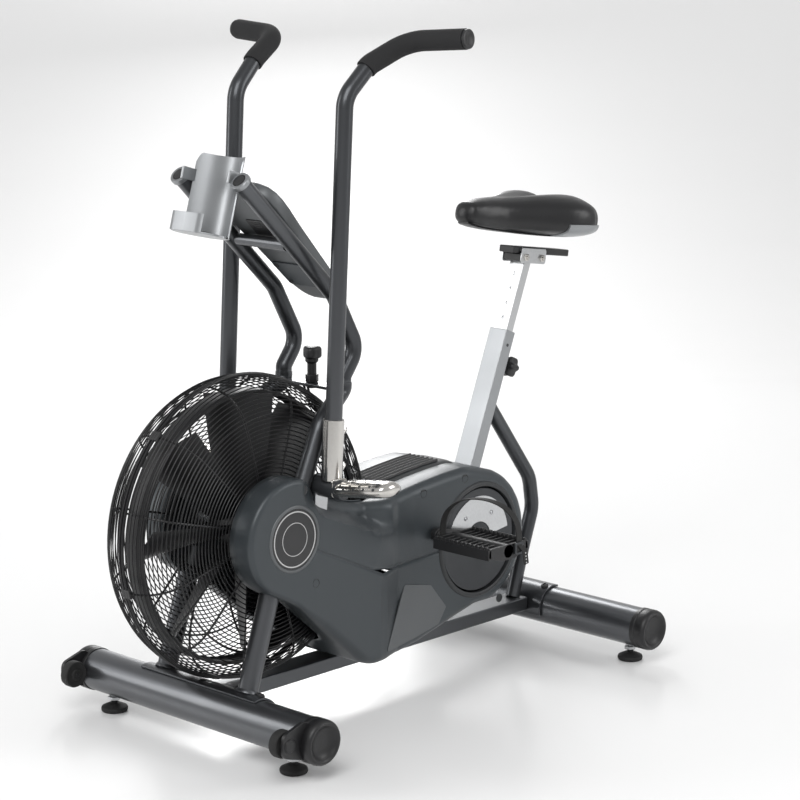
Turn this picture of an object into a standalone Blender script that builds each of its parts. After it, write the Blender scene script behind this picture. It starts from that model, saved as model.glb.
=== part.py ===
"""Air bike: a fan-braked exercise bike with swinging arms. Metres, +Z up, front of the bike at -X."""

import math

import bmesh
import bpy
import numpy as np
from mathutils import Matrix, Vector

# Overall layout
GAP = 0.0003
MIDDLE_X = 0.02676
TUBE_Z = 0.073
FRONT_X = -0.399
REAR_X = 0.5425
STABILISER_R = 0.040
STABILISER_WALL = 0.0025
STABILISER_HALF = 0.2925
CAP_END = 0.329
FRONT_FOOT_Y = 0.248
REAR_FOOT_Y = 0.2665
BEAM_LOW = 0.0660
BEAM_TOP = 0.0950
BEAM_HALF_Y = 0.0275

# Fan and its guard
FAN_X = -0.294
FAN_Z = 0.390
FAN_R = 0.257
GUARD_R = 0.287
GUARD_INNER_R = 0.098
GUARD_WALL = 0.003

# Crank set
CRANK_X = 0.2465
CRANK_Z = 0.282
CRANK_LENGTH = 0.140
CRANK_RISE = math.radians(15.5)
DISC_R = 0.104
DISC_OUT = 0.110
PULLEY_R = 0.085
FAN_PULLEY_R = 0.0265
BELT_Y = (0.0885, 0.0965)
PEDAL_Y = (0.165, 0.307)
ECCENTRIC = 0.027

# Swinging arms
PIVOT_X = -0.1976
PIVOT_Z = 0.4686
ARM_Y = 0.144
ARM_LEAN = math.radians(3.2)
ARM_R = 0.0158
LEVER = 0.120
ROD_Y = (0.0995, 0.1035)

# Seat
SEAT_LEAN = math.radians(21.8)
SEAT_TOP = Vector((0.441, 0.0, 0.668))
SEAT_TUBE = (0.028, 0.046)
SEAT_BORE = (0.0215, 0.0385)
POST = (0.0205, 0.0375)
POST_SHOWING = 0.158
SADDLE_TILT = math.radians(8.0)

# Mast
MAST_R = 0.0155
MAST_Y = 0.080
MAST_TOP = (-0.351, 1.0345)

LEFT, RIGHT = -1, 1
NAME_OF = {LEFT: "left", RIGHT: "right"}


# ---------------------------------------------------------------- helpers
def clear_scene():
    for obj in list(bpy.data.objects):
        bpy.data.objects.remove(obj, do_unlink=True)


def paint(name, colour, metallic=0.0, roughness=0.5):
    material = bpy.data.materials.new(name)
    material.use_nodes = True
    shader = material.node_tree.nodes["Principled BSDF"]
    shader.inputs["Base Color"].default_value = (*colour, 1.0)
    shader.inputs["Metallic"].default_value = metallic
    shader.inputs["Roughness"].default_value = roughness
    return material


def closed_mesh(name, verts, faces):
    """A mesh with its faces all turned outwards."""
    mesh = bpy.data.meshes.new(name)
    mesh.from_pydata([tuple(v) for v in verts], [], faces)
    shape = bmesh.new()
    shape.from_mesh(mesh)
    bmesh.ops.remove_doubles(shape, verts=shape.verts, dist=1e-6)
    bmesh.ops.recalc_face_normals(shape, faces=shape.faces)
    if shape.calc_volume(signed=True) < 0:
        bmesh.ops.reverse_faces(shape, faces=shape.faces)
    shape.to_mesh(mesh)
    shape.free()
    return mesh


def shape_object(name, shape):
    obj = bpy.data.objects.new(name, closed_mesh(name, *shape))
    bpy.context.scene.collection.objects.link(obj)
    return obj


def boolean(obj, tool, operation):
    """Applies one exact Boolean and throws the tool away."""
    modifier = obj.modifiers.new(operation.title(), "BOOLEAN")
    modifier.object = tool
    modifier.operation = operation
    modifier.solver = "EXACT"
    bpy.context.view_layer.update()
    graph = bpy.context.evaluated_depsgraph_get()
    mesh = bpy.data.meshes.new_from_object(obj.evaluated_get(graph))
    obj.modifiers.clear()
    shape = bmesh.new()
    shape.from_mesh(mesh)
    bmesh.ops.remove_doubles(shape, verts=shape.verts, dist=2e-5)
    bmesh.ops.triangulate(shape, faces=shape.faces)
    bmesh.ops.dissolve_degenerate(shape, edges=shape.edges, dist=1e-5)
    shape.to_mesh(mesh)
    shape.free()
    obj.data = mesh
    bpy.data.objects.remove(tool, do_unlink=True)


def node(name, material, shape, add=(), cut=(), origin=(0, 0, 0), smooth=True):
    """One named piece: a shape, with others joined on and others cut away."""
    obj = shape_object(name, shape)
    for extra in add:
        boolean(obj, shape_object(name + "_add", extra), "UNION")
    for hole in cut:
        boolean(obj, shape_object(name + "_cut", hole), "DIFFERENCE")
    mesh = obj.data
    mesh.transform(Matrix.Translation(-Vector(origin)))
    obj.location = Vector(origin) - Vector((MIDDLE_X, 0, 0))
    mesh.materials.clear()
    mesh.materials.append(material)
    if smooth:
        mesh.shade_smooth()
        mesh.set_sharp_from_angle(angle=math.radians(38))
    return obj


def grid_faces(rows, columns, wrap=True):
    faces = []
    for i in range(rows - 1):
        for j in range(columns if wrap else columns - 1):
            k = (j + 1) % columns
            faces.append((i * columns + j, i * columns + k, (i + 1) * columns + k, (i + 1) * columns + j))
    return faces


def frame_of(direction):
    axis = Vector(direction).normalized()
    side = Vector((0, 1, 0)) if abs(axis.y) < 0.9 else Vector((1, 0, 0))
    first = (side - axis * side.dot(axis)).normalized()
    return axis, first, axis.cross(first)


def box(low, high):
    (a, b, c), (d, e, f) = low, high
    verts = [(x, y, z) for x in (a, d) for y in (b, e) for z in (c, f)]
    faces = [(0, 1, 3, 2), (4, 6, 7, 5), (0, 4, 5, 1), (2, 3, 7, 6), (0, 2, 6, 4), (1, 5, 7, 3)]
    return verts, faces


def turned(shape, centre, angle):
    """The shape turned about the Y axis through a point; positive lifts the -X end."""
    spin = Matrix.Rotation(angle, 4, "Y")
    middle = Vector(centre)
    return [middle + spin @ (Vector(v) - middle) for v in shape[0]], shape[1]


def lathe(profile, centre, direction, segments=24):
    """Turns (radius, distance along the axis) points round the axis; the ends lie on it or meet."""
    axis, first, second = frame_of(direction)
    middle = Vector(centre)
    verts, rows = [], []
    for radius, along in profile:
        row = []
        count = 1 if radius < 1e-7 else segments
        for j in range(count):
            turn = 2 * math.pi * j / segments
            offset = first * math.cos(turn) * radius + second * math.sin(turn) * radius
            row.append(len(verts))
            verts.append(middle + axis * along + offset)
        rows.append(row)
    closed = len(rows[0]) > 1
    faces = []
    pairs = list(zip(rows, rows[1:])) + ([(rows[-1], rows[0])] if closed else [])
    for low, high in pairs:
        for j in range(segments):
            k = (j + 1) % segments
            corners = [low[j % len(low)], low[k % len(low)], high[k % len(high)], high[j % len(high)]]
            faces.append(tuple(dict.fromkeys(corners)))
    return verts, faces


def rod(start, end, radius, segments=16, end_radius=None):
    length = (Vector(end) - Vector(start)).length
    last = radius if end_radius is None else end_radius
    profile = [(0, 0), (radius, 0), (last, length), (0, length)]
    return lathe(profile, start, Vector(end) - Vector(start), segments)


def pipe_ring(start, end, outer, inner, segments=24):
    length = (Vector(end) - Vector(start)).length
    profile = [(inner, 0), (outer, 0), (outer, length), (inner, length)]
    return lathe(profile, start, Vector(end) - Vector(start), segments)


def bent(corners, bend, steps=4):
    """A path through the corners, each inner corner rounded to the bend radius."""
    points = [Vector(corners[0])]
    for before, corner, after in zip(corners, corners[1:], corners[2:]):
        corner = Vector(corner)
        back = (Vector(before) - corner).normalized()
        on = (Vector(after) - corner).normalized()
        half = back.angle(on) / 2
        reach = bend / math.tan(half)
        reach = min(reach, 0.46 * min((Vector(before) - corner).length, (Vector(after) - corner).length))
        radius = reach * math.tan(half)
        middle = corner + (back + on).normalized() * radius / math.sin(half)
        start = (corner + back * reach - middle).normalized()
        finish = (corner + on * reach - middle).normalized()
        for i in range(steps + 1):
            points.append(middle + start.slerp(finish, i / steps) * radius)
    points.append(Vector(corners[-1]))
    return points


def sweep(points, radius, segments=12, bore=0.0):
    """A round bar along the points, or a tube with both ends open when it has a bore."""
    rings = []
    normal = None
    for i, point in enumerate(points):
        before = points[max(i - 1, 0)]
        after = points[min(i + 1, len(points) - 1)]
        axis = (after - before).normalized()
        if normal is None:
            normal = frame_of(axis)[1]
        normal = (normal - axis * normal.dot(axis)).normalized()
        rings.append((point, normal, axis.cross(normal)))
    radii = [radius] if not bore else [radius, bore]
    verts = []
    for size in radii:
        for point, first, second in rings:
            for j in range(segments):
                turn = 2 * math.pi * j / segments
                verts.append(point + (first * math.cos(turn) + second * math.sin(turn)) * size)
    faces = grid_faces(len(rings), segments)
    count = len(rings) * segments
    if not bore:
        faces += [tuple(range(segments)), tuple(range(count - segments, count))]
        return verts, faces
    faces += [tuple(i + count for i in face) for face in grid_faces(len(rings), segments)]
    for base in (0, count - segments):
        for j in range(segments):
            k = (j + 1) % segments
            faces.append((base + j, base + k, base + k + count, base + j + count))
    return verts, faces


def prism(outline, low, high, axis="Y"):
    """The outline in X and Z drawn out along Y, or in X and Y drawn out along Z."""
    count = len(outline)
    if axis == "Y":
        verts = [(u, low, v) for u, v in outline] + [(u, high, v) for u, v in outline]
    else:
        verts = [(u, v, low) for u, v in outline] + [(u, v, high) for u, v in outline]
    faces = [tuple(range(count)), tuple(range(count, 2 * count))]
    faces += [(i, (i + 1) % count, (i + 1) % count + count, i + count) for i in range(count)]
    return verts, faces


def rounded(corners, radius, steps=3):
    """A closed outline with its corners rounded."""
    count = len(corners)
    points = []
    for i, corner in enumerate(corners):
        here = Vector(corner)
        back = (Vector(corners[i - 1]) - here)
        on = (Vector(corners[(i + 1) % count]) - here)
        half = back.angle(on) / 2
        reach = min(radius / math.tan(half), 0.45 * back.length, 0.45 * on.length)
        for k in range(steps + 1):
            t = k / steps
            a = here + back.normalized() * reach
            b = here + on.normalized() * reach
            points.append(tuple((1 - t) ** 2 * a + 2 * t * (1 - t) * here + t * t * b))
    return points


def slab(outline_a, outline_b):
    """A solid between two outlines of the same number of points."""
    count = len(outline_a)
    faces = [tuple(range(count)), tuple(range(count, 2 * count))]
    faces += [(i, (i + 1) % count, (i + 1) % count + count, i + count) for i in range(count)]
    return list(outline_a) + list(outline_b), faces


def slotted_shell(outer, inner, solid, wrap):
    """A wall between two grids of points, with the cells marked False left open."""
    rows, columns = outer.shape[:2]
    count = rows * columns
    verts = [tuple(p) for p in outer.reshape(-1, 3)] + [tuple(p) for p in inner.reshape(-1, 3)]
    faces = []

    def present(i, j):
        if i < 0 or i >= rows - 1:
            return False
        if wrap:
            j %= columns
        elif j < 0 or j >= columns - 1:
            return False
        return bool(solid[i][j])

    for i in range(rows - 1):
        for j in range(columns if wrap else columns - 1):
            if not present(i, j):
                continue
            k = (j + 1) % columns
            a, b = i * columns + j, i * columns + k
            c, d = (i + 1) * columns + k, (i + 1) * columns + j
            faces.append((a, b, c, d))
            faces.append((a + count, b + count, c + count, d + count))
            for other, edge in (((i - 1, j), (a, b)), ((i, j + 1), (b, c)), ((i + 1, j), (c, d)),
                                ((i, j - 1), (d, a))):
                if not present(*other):
                    faces.append((edge[0], edge[1], edge[1] + count, edge[0] + count))
    return verts, faces


def loft(sections):
    """Closed sections of equal length joined in order, with both ends filled."""
    columns = len(sections[0])
    verts = [tuple(p) for section in sections for p in section]
    faces = grid_faces(len(sections), columns)
    faces += [tuple(range(columns)), tuple(range(len(verts) - columns, len(verts)))]
    return verts, faces


# ---------------------------------------------------------------- materials
def make_materials():
    return {
        "frame": paint("frame paint", (0.075, 0.08, 0.085), 0.7, 0.32),
        "shroud": paint("shroud plastic", (0.085, 0.098, 0.108), 0.0, 0.42),
        "black": paint("black plastic", (0.012, 0.012, 0.013), 0.0, 0.45),
        "wire": paint("guard wire", (0.01, 0.01, 0.011), 0.3, 0.35),
        "rubber": paint("rubber", (0.015, 0.015, 0.015), 0.0, 0.8),
        "foam": paint("grip foam", (0.02, 0.02, 0.02), 0.0, 0.9),
        "chrome": paint("chrome", (0.75, 0.74, 0.72), 1.0, 0.12),
        "steel": paint("bright steel", (0.62, 0.63, 0.64), 1.0, 0.3),
        "silver": paint("silver paint", (0.55, 0.56, 0.57), 0.8, 0.35),
        "vinyl": paint("saddle vinyl", (0.012, 0.012, 0.013), 0.0, 0.38),
        "disc": paint("crank disc", (0.10, 0.105, 0.11), 0.4, 0.35),
    }


# ---------------------------------------------------------------- base
def base_frame(paints):
    spot = paints["frame"]
    front = FRONT_X + STABILISER_R + 0.0055
    rear = REAR_X - STABILISER_R - 0.0055
    outer = [(front, -BEAM_HALF_Y, BEAM_LOW), (rear, BEAM_HALF_Y, BEAM_TOP)]
    wall = 0.0025
    bore = box((front - 0.01, -BEAM_HALF_Y + wall, BEAM_LOW + wall),
               (rear + 0.01, BEAM_HALF_Y - wall, BEAM_TOP - wall))
    node("base_beam", spot, box(*outer), cut=[bore], smooth=False)
    for name, x in (("front", FRONT_X), ("rear", REAR_X)):
        ends = ((x, -STABILISER_HALF, TUBE_Z), (x, STABILISER_HALF, TUBE_Z))
        tube = pipe_ring(*ends, STABILISER_R, STABILISER_R - STABILISER_WALL, 24)
        node(f"{name}_stabiliser", spot, tube)


def saddle_plate(name, x, turn_low, turn_high, y_low, y_high, material):
    """A curved plate welded over a stabiliser."""
    inner = STABILISER_R + 0.0009
    outer = inner + 0.004
    steps = 9
    turns = [turn_low + (turn_high - turn_low) * i / steps for i in range(steps + 1)]
    arc = [(x + outer * math.cos(t), TUBE_Z + outer * math.sin(t)) for t in turns]
    arc += [(x + inner * math.cos(t), TUBE_Z + inner * math.sin(t)) for t in reversed(turns)]
    node(name, material, prism(arc, y_low, y_high))


def end_cap(name, x, side, paints, with_wheel):
    """Moulded plug for a stabiliser end: dished outside, spigot inside, wheel arm at the front."""
    start = STABILISER_HALF + GAP
    profile = [(0, start - 0.020), (0.0362, start - 0.020), (0.0362, start), (0.0405, start)]
    profile += [(0.0418, start + 0.006), (0.0418, CAP_END - 0.008), (0.0385, CAP_END - 0.001)]
    profile += [(0.0350, CAP_END), (0.0290, CAP_END - 0.0015), (0.0180, CAP_END - 0.009),
                (0, CAP_END - 0.011)]
    body = lathe(profile, (x, 0, TUBE_Z), (0, side, 0), 16)
    extra = []
    if with_wheel:
        outline = rounded([(x - 0.082, 0.063), (x - 0.078, 0.098), (x - 0.03, 0.1165), (x - 0.015, 0.04)],
                          0.012)
        arm = prism(outline, min(0.3075 * side, 0.3005 * side), max(0.3075 * side, 0.3005 * side))
        pin = rod((x - 0.066, side * 0.304, 0.080), (x - 0.066, side * 0.2745, 0.080), 0.0042, 12)
        extra = [arm, pin]
    node(name, paints["black"], body, add=extra)


def transport_wheel(side, paints):
    x, z = FRONT_X - 0.066, 0.080
    profile = [(0.0046, 0.276), (0.012, 0.276), (0.014, 0.278), (0.022, 0.278), (0.0255, 0.281)]
    profile += [(0.0255, 0.2935), (0.022, 0.2965), (0.014, 0.2965), (0.012, 0.2985), (0.0046, 0.2985)]
    wheel = lathe(profile, (x, 0, z), (0, side, 0), 12)
    node(f"{NAME_OF[side]}_transport_wheel", paints["rubber"], wheel, origin=(x, side * 0.287, z))


def levelling_foot(name, x, y, paints):
    low = TUBE_Z - STABILISER_R
    profile = [(0, 0), (0.022, 0), (0.0255, 0.004), (0.0245, 0.009), (0.012, 0.0155), (0.006, 0.0165)]
    profile += [(0.006, 0.0255), (0.0105, 0.0255), (0.0105, 0.033), (0.006, 0.033), (0.006, low - GAP),
                (0, low - GAP)]
    foot = lathe(profile, (x, y, 0), (0, 0, 1), 8)
    node(name, paints["rubber"], foot, origin=(x, y, 0.0))


# ---------------------------------------------------------------- fork, mast, console
def fork(side, paints):
    """Strut, axle plate, upright and arm pivot stub of one side, welded together."""
    y = side * 0.111
    strut = sweep([Vector((FRONT_X + 0.002, y, TUBE_Z + 0.02)), Vector((-0.3085, y, 0.335))], 0.019, 12)
    seat = rod((FRONT_X, y - 0.03, TUBE_Z), (FRONT_X, y + 0.03, TUBE_Z), STABILISER_R + 0.0056, 36)
    corners = [(-0.334, 0.318), (-0.276, 0.312), (-0.250, 0.385), (-0.180, 0.448), (-0.180, 0.492),
               (-0.262, 0.474),
               (-0.325, 0.415)]
    plate = prism(rounded(corners, 0.012, 2), *sorted((side * 0.1005, side * 0.1055)))
    upright = [(-0.2500, side * 0.1045, 0.440), (-0.186, side * 0.1035, 0.583),
               (-0.110, side * MAST_Y, 0.624),
               (-0.102, side * MAST_Y, 0.634), (-0.102, side * MAST_Y, 0.6460)]
    column = sweep(bent(upright, 0.05, 3), 0.0165, 12)
    stub = rod((PIVOT_X, side * 0.1010, PIVOT_Z), (PIVOT_X, side * 0.1790, PIVOT_Z), 0.0095, 16)
    axle_hole = rod((FAN_X, side * 0.090, FAN_Z), (FAN_X, side * 0.120, FAN_Z), 0.0084, 16)
    node(f"{NAME_OF[side]}_fork", paints["frame"], plate, add=[strut, column, stub], cut=[axle_hole, seat])


def mast(paints):
    for side in (LEFT, RIGHT):
        y = side * MAST_Y
        path = bent([(-0.102, y, 0.6463), (-0.102, y, 0.6560), (-0.066, y, 0.704), (-0.125, y, 0.812),
                     (MAST_TOP[0], y, MAST_TOP[1])], 0.06, 4)
        node(f"{NAME_OF[side]}_mast_tube", paints["frame"], sweep(path, MAST_R, 8, bore=MAST_R - 0.002))
    half = MAST_Y - 0.0168
    bar = box((-0.122, -half, 0.6290), (-0.088, half, 0.6350))
    hole = rod((-0.105, 0, 0.62), (-0.105, 0, 0.64), 0.0047, 12)
    node("mast_crossbar", paints["frame"], bar, cut=[hole], smooth=False)
    middle = Vector((-0.2288, 0.0, 0.9130))
    reach = MAST_Y - MAST_R - GAP
    node("console_crossbar", paints["frame"], rod((middle.x, -reach, middle.z), (middle.x, reach,
                                                                                 middle.z), 0.011, 14))


def lobed(radius, depth, lobes, count):
    points = []
    for i in range(count):
        turn = 2 * math.pi * i / count
        size = radius - depth * (0.5 - 0.5 * math.cos(lobes * turn))
        points.append((size * math.cos(turn), size * math.sin(turn)))
    return points


def lobed_head(centre, direction, low, high, radius, depth, lobes, count=24):
    axis, first, second = frame_of(direction)
    outline = lobed(radius, depth, lobes, count)
    sections = []
    for along, scale in ((low, 0.82), (low + 0.15 * (high - low), 1.0), (low + 0.75 * (high - low), 1.0),
                         (high, 0.7)):
        sections.append([Vector(centre) + axis * along + first * u * scale + second * v * scale for u,
                         v in outline])
    return loft(sections)


def knobs(paints):
    base = Vector((-0.105, 0.0, 0.6355))
    stem = lathe([(0, -0.0115), (0.008, -0.0115), (0.008, -0.0072), (0.0042, -0.0072), (0.0042, 0.0),
                  (0.0095, 0.0), (0.0095, 0.036), (0.013, 0.040), (0.013, 0.047), (0, 0.047)], base, (0, 0,
                                                                                                      1), 12)
    head = lobed_head(base, (0, 0, 1), 0.045, 0.068, 0.019, 0.005, 3)
    node("mast_knob", paints["black"], stem, add=[head], origin=base)
    along = Vector((math.cos(SEAT_LEAN), 0, -math.sin(SEAT_LEAN)))
    down = Vector((-math.sin(SEAT_LEAN), 0, -math.cos(SEAT_LEAN)))
    centre = SEAT_TOP + down * 0.066
    face = SEAT_TUBE[0] / 2 + GAP
    pin = lathe([(0, POST[0] / 2 + GAP), (0.0038, POST[0] / 2 + GAP), (0.0038, face), (0.0105, face),
                 (0.0105, face + 0.012), (0.007, face + 0.014), (0.007, face + 0.022),
                 (0, face + 0.022)], centre, along, 14)
    grip = lobed_head(centre, along, face + 0.020, face + 0.046, 0.0225, 0.005, 6)
    node("seat_knob", paints["black"], pin, add=[grip], origin=centre + along * face)


def along_mast(distance, off, y):
    """A point beside the mast: distance up from its upper bend, off towards the rider."""
    low = Vector((-0.125, 0, 0.812))
    direction = (Vector((MAST_TOP[0], 0, MAST_TOP[1])) - low).normalized()
    normal = Vector((-direction.z, 0, direction.x)) * -1
    return low + direction * distance + normal * off + Vector((0, y, 0))


def console(paints):
    lengthwise = [(-0.045, 0.034), (-0.020, 0.052), (0.05, 0.062), (0.13, 0.072), (0.18, 0.082),
                  (0.230, 0.086), (0.260, 0.074), (0.272, 0.050)]
    outline = [(d, w) for d, w in lengthwise] + [(d, -w) for d, w in reversed(lengthwise)]

    def layer(off, inset):
        points = []
        for d, w in outline:
            d2 = 0.128 + (d - 0.128) * (1 - inset / 0.17)
            points.append(along_mast(d2, off, w * (1 - inset / 0.08)))
        return points

    low = MAST_R + GAP
    housing = loft([layer(low, 0.008), layer(low + 0.006, 0.0), layer(low + 0.022, 0.0),
                    layer(low + 0.027, 0.004)])
    well = loft([layer(low + 0.0245, 0.009), layer(low + 0.040, 0.009)])
    hole = [(0.132, -0.026), (0.188, -0.026), (0.188, 0.026), (0.132, 0.026)]
    door_hole = slab([along_mast(d, low - 0.004, w) for d, w in hole],
                     [along_mast(d, low + 0.016, w) for d, w in hole])
    node("console_housing", paints["black"], housing, cut=[well, door_hole])
    node("console_panel", paints["disc"], loft([layer(low + 0.0248, 0.0095), layer(low + 0.0268, 0.0095)]))
    door = [(0.1325, -0.0255), (0.1875, -0.0255), (0.1875, 0.0255), (0.1325, 0.0255)]
    node("battery_door", paints["black"], slab([along_mast(d, low + 0.0003, w) for d, w in door],
                                               [along_mast(d, low + 0.0030, w) for d, w in door]))


def bottle_holder(paints):
    """A leaning curved trough with a slotted tray at its foot, held on the two mast ends."""
    lean = math.radians(16)
    up = Vector((math.sin(lean), 0, math.cos(lean)))
    front = Vector((-math.cos(lean), 0, math.sin(lean)))
    base = Vector((-0.352, 0, 0.932))

    def place(u, y, v):
        return base + front * u + up * v + Vector((0, y, 0))

    radius, wall, half = 0.074, 0.0030, math.radians(55)
    steps = 10
    arcs = [-half + 2 * half * i / steps for i in range(steps + 1)]
    centre = 0.062
    outer = [(centre - (radius + wall) * math.cos(t), (radius + wall) * math.sin(t)) for t in arcs]
    inner = [(centre - radius * math.cos(t), radius * math.sin(t)) for t in arcs]
    section = outer + inner[::-1]
    trough = slab([place(u, y, 0.0) for u, y in section], [place(u, y, 0.150) for u, y in section])
    edge = [(centre - (radius + 0.001) * math.cos(t), (radius + 0.001) * math.sin(t)) for t in arcs]
    edge += [(0.044, 0.060), (0.066, 0.038), (0.072, 0.0), (0.066, -0.038), (0.044, -0.060)]
    tray = slab([place(u, y, -0.001) for u, y in edge], [place(u, y, 0.003) for u, y in edge])
    lip_out = [(0.0405, -0.0655), (0.0460, -0.0600), (0.0690, -0.0385), (0.0745, 0.0),
               (0.0690, 0.0385), (0.0460, 0.0600), (0.0405, 0.0655)]
    lip_in = [(0.0380, -0.0620), (0.0430, -0.0570), (0.0645, -0.0365), (0.0705, 0.0),
              (0.0645, 0.0365), (0.0430, 0.0570), (0.0380, 0.0620)]
    rim = lip_out + lip_in[::-1]
    lip = slab([place(u, y, 0.0) for u, y in rim], [place(u, y, 0.034) for u, y in rim])
    slots = []
    for middle in (-0.03, 0.0, 0.03):
        slot = [(0.004, middle - 0.004), (0.054, middle - 0.004),
                (0.054, middle + 0.004), (0.004, middle + 0.004)]
        slots.append(slab([place(u, y, -0.01) for u, y in slot], [place(u, y, 0.01) for u, y in slot]))
    ears = []
    direction = (Vector((MAST_TOP[0], 0, MAST_TOP[1])) - Vector((-0.125, 0, 0.812))).normalized()
    for side in (LEFT, RIGHT):
        mouth = Vector((MAST_TOP[0], side * MAST_Y, MAST_TOP[1])) + direction * 0.0004
        ears.append(lathe([(0.0085, 0), (0.0185, 0), (0.0185, 0.008), (0.0165, 0.010), (0.0085, 0.010)],
                          mouth, direction, 20))
        ear = [(0.006, 0.0580), (0.046, 0.0580), (0.046, 0.0640), (0.006, 0.0640)]
        ears.append(slab([place(u, side * y, 0.098) for u, y in ear],
                         [place(u, side * y, 0.116) for u, y in ear]))
    node("bottle_holder", paints["silver"], trough, add=[tray, lip, *ears], cut=slots)


def console_cable(paints):
    path = bent([(-0.098, 0.030, 0.6255), (-0.085, 0.028, 0.585), (-0.022, 0.012, 0.520),
                 (0.001, 0.006, 0.4265)], 0.05, 5)
    node("console_cable", paints["rubber"], sweep(path, 0.0024, 8))


# ---------------------------------------------------------------- fan and guard
def guard_depth(radius):
    """How far the guard's outside stands from the middle plane at a distance from the fan axis."""
    stations = ((0.0, 0.084), (0.212, 0.084), (0.241, 0.080), (0.264, 0.067), (0.278, 0.046),
                (0.285, 0.022), (0.287, 0.0))
    if radius >= GUARD_R:
        return 0.0
    return float(np.interp(radius, [s[0] for s in stations], [s[1] for s in stations]))


def guard(side, paints):
    profile = [(GUARD_INNER_R, 0.084), (0.103, 0.084), (0.156, 0.084), (0.160, 0.084), (0.210, 0.084),
               (0.215, 0.0838),
               (0.243, 0.0795), (0.247, 0.0775), (0.2725, 0.0570), (0.2745, 0.0540), (0.2860,
                                                                                      0.0180), (GUARD_R,
                                                                                                GAP)]
    thick = GUARD_WALL
    inner = [(r - min(1.0, max(0.0, (r - 0.206) / 0.08)) * thick,
              y - thick * (1.0 if r < 0.25 else 0.7 if r < 0.28 else 0.15))
             for r, y in profile[:-1]]
    inner.append((GUARD_R - thick, GAP))
    bars, bar = 12, math.radians(1.2)
    turns = []
    for i in range(bars):
        middle = 2 * math.pi * (i + 0.5) / bars
        turns += [middle - bar, middle + bar]

    def grid(stations):
        return np.array([[(FAN_X + r * math.cos(t), side * y,
                           FAN_Z + r * math.sin(t)) for t in turns] for r, y in stations])

    solid = [[i % 2 == 0 or j % 2 == 0 or i >= len(profile) - 2 for j in range(len(turns))]
             for i in range(len(profile) - 1)]
    shell = slotted_shell(grid(profile), grid(inner), solid, True)
    node(f"{NAME_OF[side]}_fan_guard", paints["wire"], shell, smooth=False)


def fan(paints):
    hub = lathe([(0.0084, -0.050), (0.034, -0.050), (0.038, -0.044), (0.038, 0.044), (0.034, 0.050),
                 (0.0084, 0.050)],
                (FAN_X, 0, FAN_Z), (0, 1, 0), 16)
    hoop = lathe([(FAN_R - 0.004, -0.020), (FAN_R, -0.020), (FAN_R, 0.020), (FAN_R - 0.004, 0.020)],
                 (FAN_X, 0, FAN_Z), (0, 1, 0), 32)
    blades = []
    for i in range(8):
        turn = 2 * math.pi * i / 8
        radial = Vector((math.cos(turn), 0, math.sin(turn)))
        round_way = Vector((-math.sin(turn), 0, math.cos(turn)))
        across = Vector((0, 1, 0))
        middle = Vector((FAN_X, 0, FAN_Z))
        ends = []
        for reach, half, lean in ((0.030, 0.040, 0.018), (FAN_R - 0.002, 0.048, 0.040)):
            corners = []
            for s, thick in ((-1, -1), (1, -1), (1, 1), (-1, 1)):
                turn_off = round_way * (lean * s + 0.0016 * thick)
                corners.append(middle + radial * reach + across * half * s + turn_off)
            ends.append(corners)
        blades.append(slab(*ends))
    node("fan_wheel", paints["black"], hub, add=[hoop, *blades], origin=(FAN_X, 0, FAN_Z), smooth=False)
    groove = FAN_PULLEY_R
    y0, y1 = BELT_Y
    profile = [(0, -0.119), (0.0078, -0.119), (0.0078, -0.1165), (0.0125, -0.1165), (0.0125, -0.1065),
               (0.0078, -0.1065)]
    profile += [(0.0078, y0 - 0.0015), (groove + 0.002, y0 - 0.0015), (groove + 0.002, y0 - 0.0004),
                (groove, y0 - 0.0004)]
    profile += [(groove, y1 + 0.0004), (groove + 0.002, y1 + 0.0004), (groove + 0.002, y1 + 0.0016),
                (0.0078, y1 + 0.0016)]
    profile += [(0.0078, 0.1065), (0.0125, 0.1065), (0.0125, 0.1165), (0.0078, 0.1165), (0.0078, 0.119),
                (0, 0.119)]
    node("fan_axle", paints["steel"], lathe(profile, (FAN_X, 0, FAN_Z), (0, 1, 0), 14),
         origin=(FAN_X, 0, FAN_Z))


# ---------------------------------------------------------------- drive
def belt_loop(inset):
    """The belt's line round both pulleys, at a distance outside them."""
    big = Vector((CRANK_X, CRANK_Z))
    small = Vector((FAN_X, FAN_Z))
    line = big - small
    lean = math.atan2(line.y, line.x)
    open_angle = math.acos((PULLEY_R - FAN_PULLEY_R) / line.length)
    points = []
    wrap = math.pi - open_angle
    for i in range(17):
        t = lean - wrap + 2 * wrap * i / 16
        points.append(big + Vector((math.cos(t), math.sin(t))) * (PULLEY_R + inset))
    for i in range(9):
        t = lean + wrap + 2 * (math.pi - wrap) * i / 8
        points.append(small + Vector((math.cos(t), math.sin(t))) * (FAN_PULLEY_R + inset))
    return points


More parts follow.
